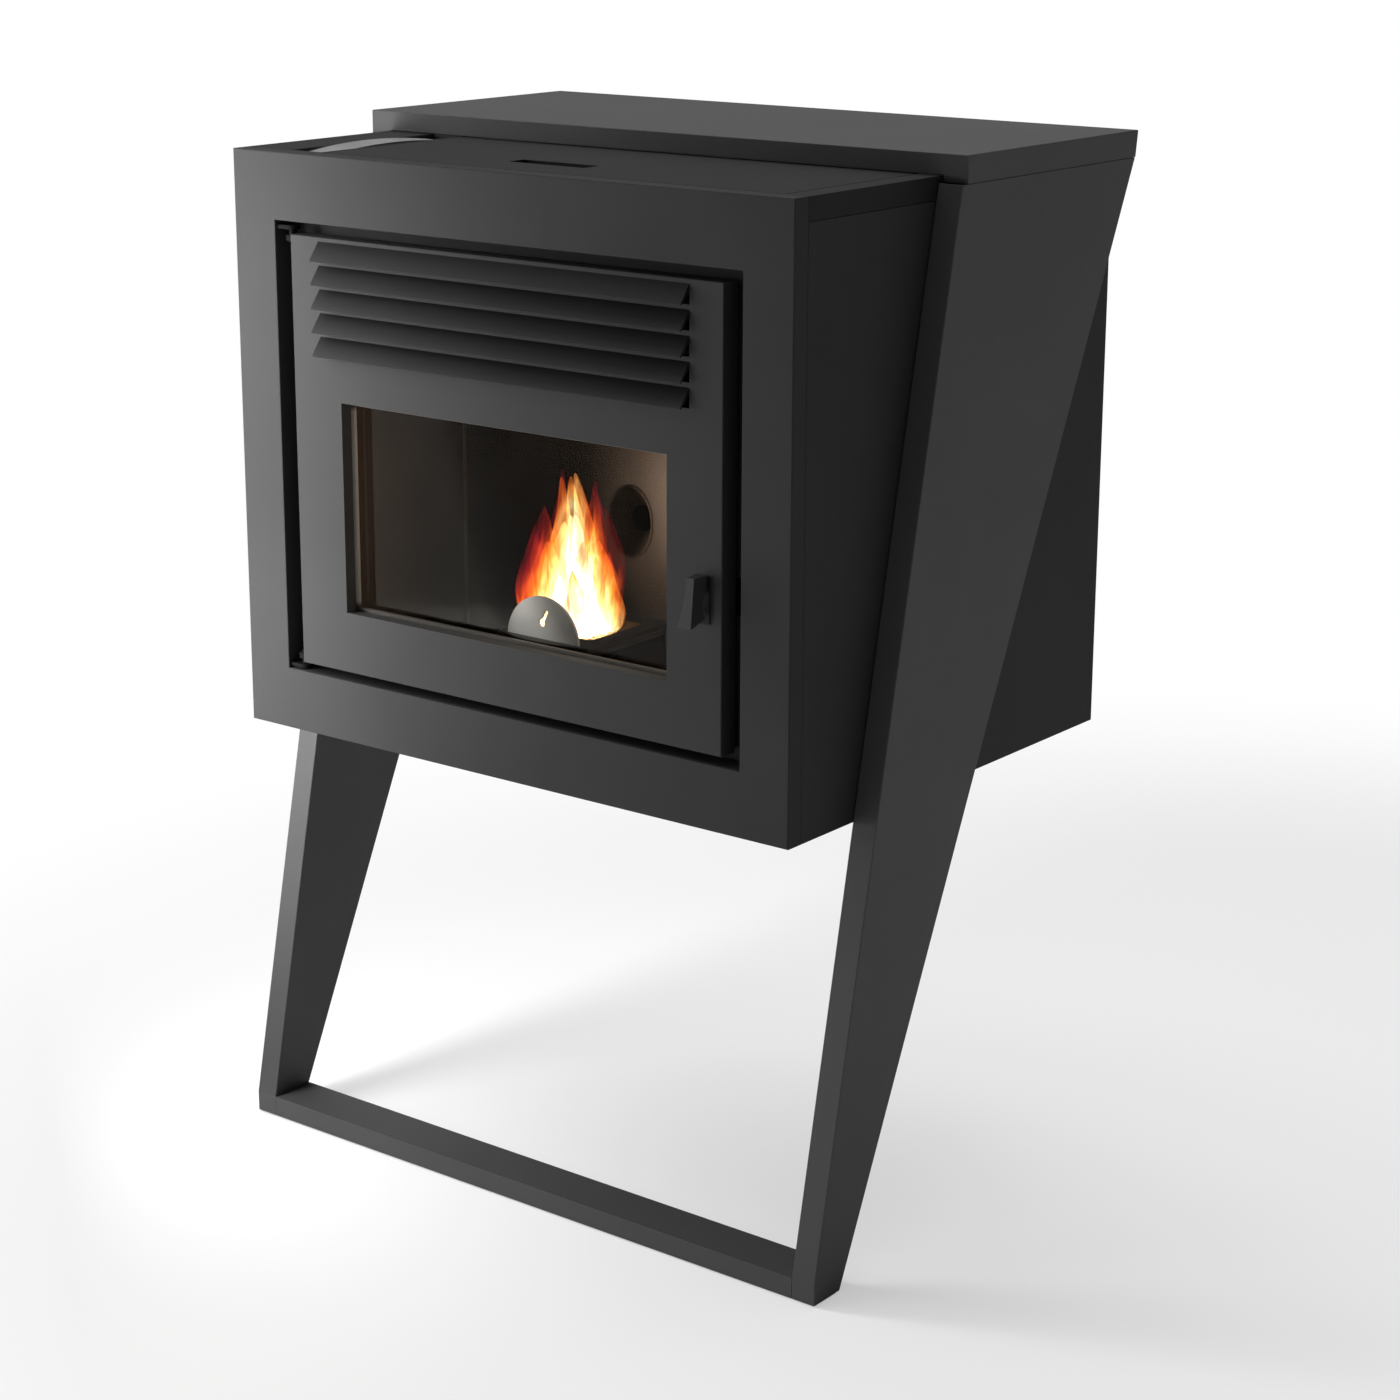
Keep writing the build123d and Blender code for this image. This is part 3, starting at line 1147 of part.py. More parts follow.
with BuildPart() as auger_motor:
    motor_plane = Plane(origin=on_auger(AUGER_END_Y + 1), x_dir=(1, 0, 0), z_dir=AUGER_DIR)
    with BuildSketch(motor_plane):
        RectangleRounded(64, 56, 5)
    extrude(amount=30)
    with BuildSketch(motor_plane.offset(30)):
        Circle(24)
    extrude(amount=22)
    with BuildSketch(motor_plane):
        Circle(AUGER_SHAFT_R + RUNNING)
    extrude(amount=26, mode=Mode.SUBTRACT)
auger_motor.part.label = "auger_motor"
export_step(auger_motor.part, "parts/auger_motor.step")

# ---------------------------------------------------------------- room air

ROOM_Y = 70
ROOM_Z = 525
ROOM_X0 = -300
ROOM_X1 = -90
ROOM_R = 26
ROOM_BLADES = 18

# The drum of the room fan is a cage of narrow blades between two discs on a shaft.
with BuildPart() as room_fan_drum:
    drum_start = Plane(origin=(ROOM_X0, ROOM_Y, ROOM_Z), z_dir=(1, 0, 0))
    for disc_x in (ROOM_X0, (ROOM_X0 + ROOM_X1) / 2, ROOM_X1 - 2):
        bar(ROOM_R, (disc_x, ROOM_Y, ROOM_Z), 2, (1, 0, 0))
    with BuildSketch(drum_start):
        with PolarLocations(ROOM_R - 4, ROOM_BLADES):
            Rectangle(6, 1.2, rotation=35)
    extrude(amount=ROOM_X1 - ROOM_X0)
    bar(3, (ROOM_X0 - 6, ROOM_Y, ROOM_Z), ROOM_X1 - ROOM_X0 + 24, (1, 0, 0))
room_fan_drum.part.label = "room_fan_drum"
export_step(room_fan_drum.part, "parts/room_fan_drum.step")

# Its housing is a rolled sheet, open upwards towards the firebox, between two end plates.
with BuildPart() as room_fan_housing:
    with BuildSketch(Plane.YZ.offset(ROOM_X0 - 6)):
        with Locations((ROOM_Y, ROOM_Z)):
            Circle(ROOM_R + 5.5)
            Circle(ROOM_R + 4, mode=Mode.SUBTRACT)
        with Locations((ROOM_Y + 14, ROOM_Z + 28)):
            Rectangle(46, 40, mode=Mode.SUBTRACT)
    extrude(amount=ROOM_X1 - ROOM_X0 + 12)
    for plate_x in (ROOM_X0 - 6, ROOM_X1 + 4):
        with BuildSketch(Plane.YZ.offset(plate_x)):
            with Locations((ROOM_Y, ROOM_Z - 5)):
                Rectangle(70, 66)
            with Locations((ROOM_Y, ROOM_Z)):
                Circle(3 + RUNNING, mode=Mode.SUBTRACT)
        extrude(amount=2)
room_fan_housing.part.label = "room_fan_housing"
export_step(room_fan_housing.part, "parts/room_fan_housing.step")

with BuildPart() as room_fan_motor:
    bar(24, (ROOM_X1 + 6.2, ROOM_Y, ROOM_Z), 44, (1, 0, 0))
    bar(3 + RUNNING, (ROOM_X1 + 6, ROOM_Y, ROOM_Z), 14, (1, 0, 0), Mode.SUBTRACT)
room_fan_motor.part.label = "room_fan_motor"
export_step(room_fan_motor.part, "parts/room_fan_motor.step")

# The warm air duct stands on the firebox's roof and opens behind the louvres.
with BuildPart() as warm_air_duct:
    duct_points = [
        (BULKHEAD_Y + BULKHEAD_T, FIREBOX_Z1 + FIREBOX_T),
        (BULKHEAD_Y + BULKHEAD_T, 1012),
        (-172, 1012),
        (-44, FIREBOX_Z1 + FIREBOX_T),
    ]
    with BuildSketch(Plane.YZ.offset(-VENT_HALF_W - 4)):
        with BuildLine():
            Polyline(*duct_points, close=True)
        make_face()
    extrude(amount=2 * VENT_HALF_W + 8)
    duct_front = warm_air_duct.faces().sort_by(Axis.Y)[0]
    duct_bottom = warm_air_duct.faces().sort_by(Axis.Z)[0]
    offset(amount=-1.5, openings=[duct_front, duct_bottom], kind=Kind.INTERSECTION)
warm_air_duct.part.label = "warm_air_duct"
export_step(warm_air_duct.part, "parts/warm_air_duct.step")

# ---------------------------------------------------------------- electrics

with BuildPart() as control_board:
    with BuildSketch(Plane.YZ.offset(-SIDE_X + PAN_D - 12)):
        with Locations((130, 680)):
            RectangleRounded(120, 160, 3)
    extrude(amount=2)
    for y, z, size_y, size_z, height in (
        (100, 730, 26, 30, 22),
        (150, 725, 40, 22, 16),
        (110, 680, 18, 18, 14),
        (160, 650, 22, 50, 12),
        (105, 620, 30, 20, 10),
    ):
        x0 = -SIDE_X + PAN_D - 10
        block((x0, x0 + height), (y - size_y / 2, y + size_y / 2), (z - size_z / 2, z + size_z / 2))
control_board.part.label = "control_board"
export_step(control_board.part, "parts/control_board.step")

# The power inlet has a three-pin socket beside a rocker switch.
SWITCH_X = INLET_X + 14
ROCKER_Y = BACK_Y - 2
TRUNNION_R = 1.5
with BuildPart() as power_inlet:
    with BuildSketch(Plane.XZ.offset(-(BACK_Y + 2.5))):
        with Locations((INLET_X, INLET_Z)):
            RectangleRounded(58, 38, 3)
    extrude(amount=2.5)
    with BuildSketch(Plane.XZ.offset(-BACK_Y)):
        with Locations((INLET_X, INLET_Z)):
            Rectangle(49.4, 29.4)
    extrude(amount=24)
    with BuildSketch(Plane.XZ.offset(-(BACK_Y + 2.5))):
        with Locations((INLET_X - 9, INLET_Z)):
            RectangleRounded(24, 19, 2)
    extrude(amount=18, mode=Mode.SUBTRACT)
    with BuildSketch(Plane.XZ.offset(-(BACK_Y + 2.5))):
        with Locations((SWITCH_X, INLET_Z)):
            Rectangle(13, 22)
    extrude(amount=18, mode=Mode.SUBTRACT)
    for pin_x, pin_z in ((-7, 0), (0, 4), (7, 0)):
        block(
            (INLET_X - 9 + pin_x - 1, INLET_X - 9 + pin_x + 1),
            (BACK_Y - 16, BACK_Y - 4),
            (INLET_Z + pin_z - 2, INLET_Z + pin_z + 2),
        )
    bar(TRUNNION_R + RUNNING, (SWITCH_X - 8, ROCKER_Y, INLET_Z), 16, (1, 0, 0), Mode.SUBTRACT)
power_inlet.part.label = "power_inlet"
export_step(power_inlet.part, "parts/power_inlet.step")

# The rocker's two faces meet in a shallow V, so that one end always stands proud. It turns on two
# short trunnions.
with BuildPart() as power_rocker:
    with BuildSketch(Plane.YZ.offset(SWITCH_X - 6)):
        with BuildLine():
            Polyline(
                (BACK_Y - 6, INLET_Z - 9),
                (BACK_Y + 2, INLET_Z - 10),
                (BACK_Y + 3, INLET_Z),
                (BACK_Y + 6, INLET_Z + 9),
                (BACK_Y - 6, INLET_Z + 9),
                close=True,
            )
        make_face()
    extrude(amount=12)
    bar(TRUNNION_R, (SWITCH_X - 7.5, ROCKER_Y, INLET_Z), 15, (1, 0, 0))
power_rocker.part.label = "power_rocker"
export_step(power_rocker.part, "parts/power_rocker.step")
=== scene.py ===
import math
import random

import bpy
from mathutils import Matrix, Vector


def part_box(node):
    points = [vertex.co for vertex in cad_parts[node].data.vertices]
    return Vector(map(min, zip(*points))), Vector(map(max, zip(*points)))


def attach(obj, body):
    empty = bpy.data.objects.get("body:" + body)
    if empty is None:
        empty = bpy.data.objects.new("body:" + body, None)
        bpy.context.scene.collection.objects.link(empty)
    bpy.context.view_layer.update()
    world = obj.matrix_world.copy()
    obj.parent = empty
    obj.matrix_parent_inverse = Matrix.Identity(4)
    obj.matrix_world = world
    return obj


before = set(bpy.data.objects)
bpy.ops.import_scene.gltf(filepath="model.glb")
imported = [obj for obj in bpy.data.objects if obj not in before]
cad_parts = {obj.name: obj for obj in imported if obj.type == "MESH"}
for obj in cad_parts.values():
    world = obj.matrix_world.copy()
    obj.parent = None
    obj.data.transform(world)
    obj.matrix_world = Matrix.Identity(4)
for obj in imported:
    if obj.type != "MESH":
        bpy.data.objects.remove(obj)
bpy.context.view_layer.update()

# ------------------------------------------------------------------ camera
# The camera stands at the right front, higher than the stove and some three metres off, with a
# long lens, as a product photographer sets it up. It looks slightly down.
CAMERA_AT = (1.9694, -2.5144, 1.4139)
TURNED = 38.34
TILTED_DOWN = 15.24
camera = bpy.data.cameras.new("camera")
camera.lens = 78.46
camera.sensor_width = 36
camera.shift_x = 0.03
camera.shift_y = -0.03
camera_object = bpy.data.objects.new("camera", camera)
camera_object.location = CAMERA_AT
camera_object.rotation_euler = (math.radians(90 - TILTED_DOWN), 0, math.radians(TURNED))
bpy.context.scene.collection.objects.link(camera_object)
bpy.context.scene.camera = camera_object
bpy.context.scene.view_settings.view_transform = "Standard"

# ------------------------------------------------------------------ studio
# A white sweep of paper lies on the floor. Near the stove it shows about half of the light and
# shadow that fall on it, and further off it goes over to plain white.
PAPER = "#ededed"
PAPER_RADIUS = 12
SHADE_AT = (0.5, 0.35, 0)
SHADE_INSIDE = 0.95
SHADE_OUTSIDE = 1.9
LEAST_WHITE = 0.45


def linear(code):
    """An sRGB hex colour as linear RGBA."""
    parts = [int(code[i : i + 2], 16) / 255 for i in (1, 3, 5)]
    return [c / 12.92 if c <= 0.04045 else ((c + 0.055) / 1.055) ** 2.4 for c in parts] + [1]


def add_node(tree, kind, feeds=None, stops=(), **settings):
    """Adds a node with its settings. feeds gives each input a value, or the output that feeds it,
    and stops gives a colour ramp its positions and colours."""
    made = tree.nodes.new("ShaderNode" + kind)
    for name, value in settings.items():
        setattr(made, name, value)
    for name, value in (feeds or {}).items():
        if isinstance(value, bpy.types.NodeSocket):
            tree.links.new(value, made.inputs[name])
        else:
            made.inputs[name].default_value = value
    if stops:
        ramp = made.color_ramp.elements
        ramp[0].position, ramp[0].color = stops[0]
        ramp[1].position, ramp[1].color = stops[-1]
        for position, colour in stops[1:-1]:
            ramp.new(position).color = colour
    return made


def new_material(name):
    """An empty material, with its node tree and its output."""
    made = bpy.data.materials.new(name)
    made.use_nodes = True
    made.node_tree.nodes.clear()
    return made, made.node_tree, made.node_tree.nodes.new("ShaderNodeOutputMaterial")


def seen_directly(tree):
    """One where the eye meets a surface straight on or through glass, and zero for other light."""
    ray = add_node(tree, "LightPath")
    both = add_node(tree, "Math", {0: ray.outputs["Is Camera Ray"], 1: ray.outputs["Is Transmission Ray"]},
                    operation="ADD", use_clamp=True)
    return both.outputs[0]


paper, tree, out = new_material("paper_sweep")
place = add_node(tree, "TexCoord")
away = add_node(tree, "VectorMath", {0: place.outputs["Object"], 1: SHADE_AT}, operation="DISTANCE")
far = add_node(tree, "MapRange", {"Value": away.outputs["Value"], "From Min": SHADE_INSIDE,
                                  "From Max": SHADE_OUTSIDE, "To Min": LEAST_WHITE, "To Max": 1.0},
               interpolation_type="SMOOTHSTEP")
share = add_node(tree, "Math", {0: seen_directly(tree), 1: far.outputs[0]}, operation="MULTIPLY")
lit = add_node(tree, "BsdfDiffuse", {"Color": linear(PAPER)})
glow = add_node(tree, "Emission", {"Color": linear("#ffffff"), "Strength": 1.0})
mixed = add_node(tree, "MixShader", {0: share.outputs[0], 1: lit.outputs[0], 2: glow.outputs[0]})
tree.links.new(mixed.outputs[0], out.inputs["Surface"])
bpy.ops.object.select_all(action="DESELECT")
bpy.ops.mesh.primitive_circle_add(vertices=64, radius=PAPER_RADIUS, fill_type="NGON", location=(0, 0, 0))
sweep = bpy.context.object
sweep.name = "paper_floor"
sweep.data.materials.append(paper)

# To the eye the room is white. What the coats and the glass mirror of it is dim, and dimmest on
# the camera's side, and its walls only lift the shadows.
BACKDROP_MIRRORED = 0.2
ROOM_MIRRORED = 0.05
WALLS = 0.08
world = bpy.data.worlds.new("studio")
bpy.context.scene.world = world
world.use_nodes = True
tree = world.node_tree
tree.nodes.clear()
ray = add_node(tree, "LightPath")
place = add_node(tree, "TexCoord")
toward = add_node(tree, "SeparateXYZ", {0: place.outputs["Generated"]})
behind = add_node(tree, "MapRange", {"Value": toward.outputs["Y"], "From Min": 0.0, "From Max": 0.5,
                                     "To Min": ROOM_MIRRORED, "To Max": BACKDROP_MIRRORED},
                  interpolation_type="SMOOTHSTEP")
mirrored = add_node(tree, "Background", {"Color": linear("#ffffff"), "Strength": behind.outputs[0]})
walls = add_node(tree, "Background", {"Color": linear("#ffffff"), "Strength": WALLS})
white = add_node(tree, "Background", {"Color": linear("#ffffff"), "Strength": 1.0})
room = add_node(tree, "MixShader", {0: ray.outputs["Is Glossy Ray"], 1: walls.outputs[0],
                                    2: mirrored.outputs[0]})
mixed = add_node(tree, "MixShader", {0: seen_directly(tree), 1: room.outputs[0], 2: white.outputs[0]})
out = tree.nodes.new("ShaderNodeOutputWorld")
tree.links.new(mixed.outputs[0], out.inputs["Surface"])


def add_lamp(name, kind, place, power, aim=(0, 0, 0), **settings):
    """A lamp of the kind at place, turned towards aim."""
    lamp = bpy.data.lights.new(name, kind)
    lamp.energy = power
    for key, value in settings.items():
        setattr(lamp, key, value)
    lamp_object = bpy.data.objects.new(name, lamp)
    lamp_object.location = place
    reach = [a - b for a, b in zip(aim, place)]
    flat = math.hypot(reach[0], reach[1])
    lamp_object.rotation_euler = (math.atan2(flat, -reach[2]), 0, math.atan2(-reach[0], reach[1]))
    bpy.context.scene.collection.objects.link(lamp_object)
    return lamp_object


# A wide bank hangs overhead, a narrow box stands close to the left front corner, and two fills
# stand further off. Two small lamps inside the firebox stand for the fire's light: one is for the
# liner, and one is kept to the pot's deflector. Only the bank is mirrored in what is glossy.
add_lamp("overhead_bank", "SUN", place=(-0.95, 0.6, 3.0), power=2.25, angle=math.radians(60))
near_lamps = (
    add_lamp("strip_box", "AREA", place=(-0.47, -0.5, 0.78), aim=(-0.3, -0.28, 0.78), power=10,
             shape="RECTANGLE", size=0.16, size_y=0.95),
    add_lamp("front_fill", "AREA", place=(-1.6, -2.3, 0.8), aim=(0, -0.2, 0.75), power=26,
             shape="RECTANGLE", size=1.6, size_y=1.2),
    add_lamp("low_fill", "AREA", place=(-0.9, -3.0, 0.15), aim=(0, -0.28, 0.75), power=10,
             shape="RECTANGLE", size=1.6, size_y=0.5),
    add_lamp("fire_light", "POINT", place=(0.1, -0.225, 0.735), aim=(0, -0.15, 0), power=2.7,
             shadow_soft_size=0.05, color=linear("#fff0e2")[:3]),
    add_lamp("disc_snoot", "SPOT", place=(-0.05, -0.266, 0.7), aim=(0, -0.212, 0.63), power=0.95,
             spot_size=math.radians(62), spot_blend=0.5, shadow_soft_size=0.012,
             color=linear("#d9e4f2")[:3]),
)
for lamp in near_lamps:
    lamp.visible_camera = lamp.visible_glossy = False

# ------------------------------------------------------------------ leaning frame
# Two wedge-shaped legs, the floor rail and the cover, folded from sheet steel and powder coated in
# anthracite. The coat is matt with a fine pebbled skin, and a little lighter than the casing's.
FRAME_COAT = "#3f3f3f"
CLOUD = 1 / 6
PEBBLE = 0.0026
CLOUD_TINT = 0.07
PEBBLE_SHEEN = 0.05


def give(material, *nodes):
    """Puts a material on carried-over nodes."""
    for name in nodes:
        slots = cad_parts[name].data.materials
        slots.clear()
        slots.append(material)


def coated_steel(name, colour, roughness, grain=PEBBLE, relief=0.00006, shine=0.25, painted_root_shade=None):
    """Powder-coated steel: one dark colour with a faint cloudiness, and a skin whose pebbles are grain
    metres wide, drawn coarser than they are. The last argument paints shade: it gives two depths along Y,
    a root and an edge that stands out from it, each with the share of its colour that is left there. Behind
    the root no shade is painted."""
    material, tree, out = new_material(name)
    place = add_node(tree, "TexCoord")
    cloud = add_node(tree, "TexNoise", {"Vector": place.outputs["Object"], "Scale": 1 / CLOUD, "Detail": 3.0})
    r, g, b, _ = linear(colour)
    dark, light = 1 - CLOUD_TINT, 1 + CLOUD_TINT
    shade = add_node(tree, "ValToRGB", {"Fac": cloud.outputs[0]}, stops=(
        (0.3, (r * dark, g * dark, b * dark, 1)),
        (0.7, (r * light, g * light, b * light, 1))))
    # Painted shade: the colour is darkest at the root and lightens towards the edge.
    if painted_root_shade:
        (root, root_share), (edge, edge_share) = painted_root_shade
        depth = add_node(tree, "SeparateXYZ", {0: place.outputs["Object"]})
        unshaded = add_node(tree, "MapRange", {"Value": depth.outputs["Y"], "From Min": edge, "From Max": root,
                                           "To Min": edge_share, "To Max": root_share})
        flat = add_node(tree, "Math", {0: depth.outputs["Y"], 1: root}, operation="GREATER_THAN")
        share = add_node(tree, "Math", {0: unshaded.outputs[0], 1: flat.outputs[0]}, operation="MAXIMUM")
        shade = add_node(tree, "VectorMath", {0: shade.outputs[0], "Scale": share.outputs[0]},
                         operation="SCALE")
    pebble = add_node(tree, "TexNoise", {"Vector": place.outputs["Object"], "Scale": 1 / grain,
                                         "Detail": 2.0})
    rough = add_node(tree, "MapRange", {"Value": pebble.outputs[0], "To Min": roughness - PEBBLE_SHEEN,
                                        "To Max": roughness + PEBBLE_SHEEN})
    bump = add_node(tree, "Bump", {"Height": pebble.outputs[0], "Strength": 0.5, "Distance": relief})
    coat = add_node(tree, "BsdfPrincipled", {
        "Base Color": shade.outputs[0], "Roughness": rough.outputs[0], "Normal": bump.outputs[0],
        "Specular IOR Level": shine})
    tree.links.new(coat.outputs[0], out.inputs["Surface"])
    return material


frame_coat = coated_steel("frame_powder_coat", FRAME_COAT, 0.6, shine=0.45)
give(frame_coat, "leg_left", "leg_right", "foot_rail", "top_cover")

# ------------------------------------------------------------------ foot pads
# Black needle felt, die cut and stuck under the floor rail. The matted fibres are drawn as a soft
# mottle, coarser than they are.
FELT = "#1c1c1c"
FIBRE = 1 / 700
felt, tree, out = new_material("needle_felt")
place = add_node(tree, "TexCoord")
fibre = add_node(tree, "TexNoise", {"Vector": place.outputs["Object"], "Scale": 1 / FIBRE, "Detail": 6.0})
bump = add_node(tree, "Bump", {"Height": fibre.outputs[0], "Strength": 0.8, "Distance": 0.0004})
matted = add_node(tree, "BsdfPrincipled", {"Base Color": linear(FELT), "Roughness": 0.95, "Sheen Weight": 0.3,
                                           "Normal": bump.outputs[0]})
tree.links.new(matted.outputs[0], out.inputs["Surface"])
give(felt, "foot_pads")

# ------------------------------------------------------------------ bolts, washers and brackets
# Zinc-plated steel for the small parts that are hidden or turned: bright, slightly blue, with a
# soft haze in its reflections.
ZINC = "#a9adb1"
HAZE = 1 / 14
HAZE_DARK = 0.82


def bare_metal(name, colour, roughness, grain=1 / 300, stretch=(1, 1, 1), relief=0.00004, spread=0.12,
               metallic=1.0, painted_shade=None):
    """Metal with a grain of grain metres, drawn coarser than it is. stretch multiplies its scale on each
    axis, so the grain is drawn out along the axis that has the least. The last argument paints shade: it
    gives a lightest place and a way. At the first distance from it along that way, either side, the
    painted shade begins to darken the metal, and at the second only the last number's share of its colour is
    left."""
    material, tree, out = new_material(name)
    place = add_node(tree, "TexCoord")
    drawn = add_node(tree, "Mapping", {"Vector": place.outputs["Object"], "Scale": stretch})
    fine = add_node(tree, "TexNoise", {"Vector": drawn.outputs[0], "Scale": 1 / grain, "Detail": 4.0})
    haze = add_node(tree, "TexNoise", {"Vector": place.outputs["Object"], "Scale": 1 / HAZE, "Detail": 3.0})
    both = add_node(tree, "Math", {0: fine.outputs[0], 1: haze.outputs[0]}, operation="MULTIPLY")
    rough = add_node(tree, "MapRange", {"Value": both.outputs[0], "From Max": 0.5,
                                        "To Min": roughness - spread / 2, "To Max": roughness + spread})
    r, g, b, _ = linear(colour)
    hazed = (r * HAZE_DARK, g * HAZE_DARK, b * HAZE_DARK, 1)
    shade = add_node(tree, "ValToRGB", {"Fac": haze.outputs[0]}, stops=((0.3, hazed), (0.7, (r, g, b, 1))))
    # Painted shade, darkening the metal away from its lightest place.
    if painted_shade:
        lightest_place, way, start, end, left = painted_shade
        apart = add_node(tree, "VectorMath", {0: place.outputs["Object"], 1: lightest_place},
                         operation="SUBTRACT")
        along = add_node(tree, "VectorMath", {0: apart.outputs[0], 1: way}, operation="DOT_PRODUCT")
        off = add_node(tree, "Math", {0: along.outputs["Value"]}, operation="ABSOLUTE")
        share = add_node(tree, "MapRange", {"Value": off.outputs[0], "From Min": start, "From Max": end,
                                            "To Min": 1.0, "To Max": left}, interpolation_type="SMOOTHSTEP")
        shade = add_node(tree, "VectorMath", {0: shade.outputs[0], "Scale": share.outputs[0]},
                         operation="SCALE")
    bump = add_node(tree, "Bump", {"Height": fine.outputs[0], "Strength": 0.4, "Distance": relief})
    metal = add_node(tree, "BsdfPrincipled", {
        "Base Color": shade.outputs[0], "Roughness": rough.outputs[0], "Normal": bump.outputs[0],
        "Metallic": metallic})
    tree.links.new(metal.outputs[0], out.inputs["Surface"])
    return material


zinc_plate = bare_metal("zinc_plated_steel", ZINC, 0.32)
give(zinc_plate, "cover_brackets", "frame_bolts", "spacer_washers", "lid_rails", "glass_retainers",
     "pivot_fork", "pivot_pin", "latch_keeper", "auger", "igniter")

# ------------------------------------------------------------------ casing
# Folded sheet, powder coated in a darker and duller black-grey than the frame. The surround, the
# sides, the back and the rail behind it share one coat. The top plate and the lid are darker still.
CASING_COAT = "#2f2f2f"
casing_coat = coated_steel("casing_powder_coat", CASING_COAT, 0.6, shine=0.12)
give(casing_coat, "front_surround", "side_panel_left", "side_panel_right", "bottom_panel", "back_panel",
     "control_tray", "front_bulkhead", "wall_rail")
LID_COAT = "#232323"
lid_coat = coated_steel("lid_powder_coat", LID_COAT, 0.6, shine=0.12)
give(lid_coat, "top_plate", "hopper_lid")

# ------------------------------------------------------------------ control strip
# Thin aluminium, bowed over its tray and held at both ends. It is brushed and satin anodised, so
# the grain runs front to back and its gloss is soft.
SATIN_ALUMINIUM = "#b9b9bb"
satin_aluminium = bare_metal("satin_anodised_aluminium", SATIN_ALUMINIUM, 0.36, grain=0.025,
                             stretch=(30, 1, 30))
give(satin_aluminium, "control_strip")

# ------------------------------------------------------------------ door
# Thick sheet with a heat-proof black-grey coat. The slats are cut and bent from the same sheet, and
# painted shade darkens their roots. Behind the door its frame and its hinges are black, and the hinges' black
# also paints the shade of the gap they stand in.
DOOR_COAT = "#303030"
SLAT_ROOT = (-0.2813, 0.25)
SLAT_EDGE = (-0.295, 0.8)
# The slats carry painted shade, darkest at their roots and lighter towards their free edges.
door_coat = coated_steel("door_stove_coat", DOOR_COAT, 0.6, shine=0.15, painted_root_shade=(SLAT_ROOT, SLAT_EDGE))
give(door_coat, "door_panel")
INNER_COAT = "#101010"
dark_coat = coated_steel("door_inner_coat", INNER_COAT, 0.7, shine=0.1)
# The hinges' black coat also stands in for the shade of the gap round the door.
give(dark_coat, "door_inner_frame", "hinge_brackets", "hinge_leaves", "hinge_pins")

# ------------------------------------------------------------------ window
# Clear glass ceramic, with a slight warm tint, that mirrors the room only at a glance. It lies
# behind a frame of drawn bright steel, whose top and bottom bars are darkened with painted shade.
GLASS_TINT = "#dedad4"
MIRRORED_SHARE = 0.06
glass_ceramic, tree, out = new_material("clear_glass_ceramic")
clear = add_node(tree, "BsdfTransparent", {"Color": linear(GLASS_TINT)})
gloss = add_node(tree, "BsdfGlossy", {"Color": linear("#ffffff"), "Roughness": 0.03})
glance = add_node(tree, "Fresnel", {"IOR": 1.45})
bloomed = add_node(tree, "Math", {0: glance.outputs[0], 1: MIRRORED_SHARE}, operation="MULTIPLY")
sheet = add_node(tree, "MixShader", {0: bloomed.outputs[0], 1: clear.outputs[0], 2: gloss.outputs[0]})
tree.links.new(sheet.outputs[0], out.inputs["Surface"])
give(glass_ceramic, "door_glass")

DRAWN_STEEL = "#cbc4ba"
# Painted shade on the bead's top and bottom bars.
BEAD_SHADE = ((0, 0, 0.7285), (0, 0, 1), 0.1, 0.107, 0.2)
drawn_steel = bare_metal("drawn_bright_steel", DRAWN_STEEL, 0.32, grain=0.002, stretch=(1, 1, 0.05),
                         metallic=0.65, painted_shade=BEAD_SHADE)
give(drawn_steel, "window_bead")

# ------------------------------------------------------------------ rope seal
# Braided glass-fibre rope, grey with soot, pressed into the door's inner frame. Its strands are
# drawn coarse, one every 5.2 millimetres, as light ridges and dark furrows. The braid is a diagonal
# wave, which turns ten radians in a metre when its scale is one.
ROPE_DARK = "#4f4a44"
ROPE_LIGHT = "#8e867b"
STRAND = math.pi / 600
WAVES_PER_METRE = 10 / (2 * math.pi)
rope, tree, out = new_material("glass_fibre_rope")
place = add_node(tree, "TexCoord")
braid = add_node(tree, "TexWave", {"Vector": place.outputs["Object"], "Scale": 1 / STRAND / WAVES_PER_METRE,
                                   "Distortion": 6.0, "Detail": 2.0}, bands_direction="DIAGONAL")
tone = add_node(tree, "ValToRGB", {"Fac": braid.outputs["Fac"]},
                stops=((0, linear(ROPE_DARK)), (1, linear(ROPE_LIGHT))))
bump = add_node(tree, "Bump", {"Height": braid.outputs["Fac"], "Strength": 0.9, "Distance": 0.0006})
plaited = add_node(tree, "BsdfPrincipled", {"Base Color": tone.outputs[0], "Roughness": 0.9,
                                            "Normal": bump.outputs[0]})
tree.links.new(plaited.outputs[0], out.inputs["Surface"])
give(rope, "door_seal")

# ------------------------------------------------------------------ handle
# A cast lever in front of a thin plate, both black. The lever's skin is smoother than the sheet's
# coat, so its edges catch a thin light, and the plate stays darker than the door round it.
LEVER_COAT = "#333333"
PLATE_COAT = "#0b0b0b"
lever_coat = coated_steel("lever_satin_coat", LEVER_COAT, 0.42, relief=0.00002)
give(lever_coat, "handle_lever")
plate_coat = coated_steel("plate_matt_coat", PLATE_COAT, 0.5)
give(plate_coat, "handle_plate")

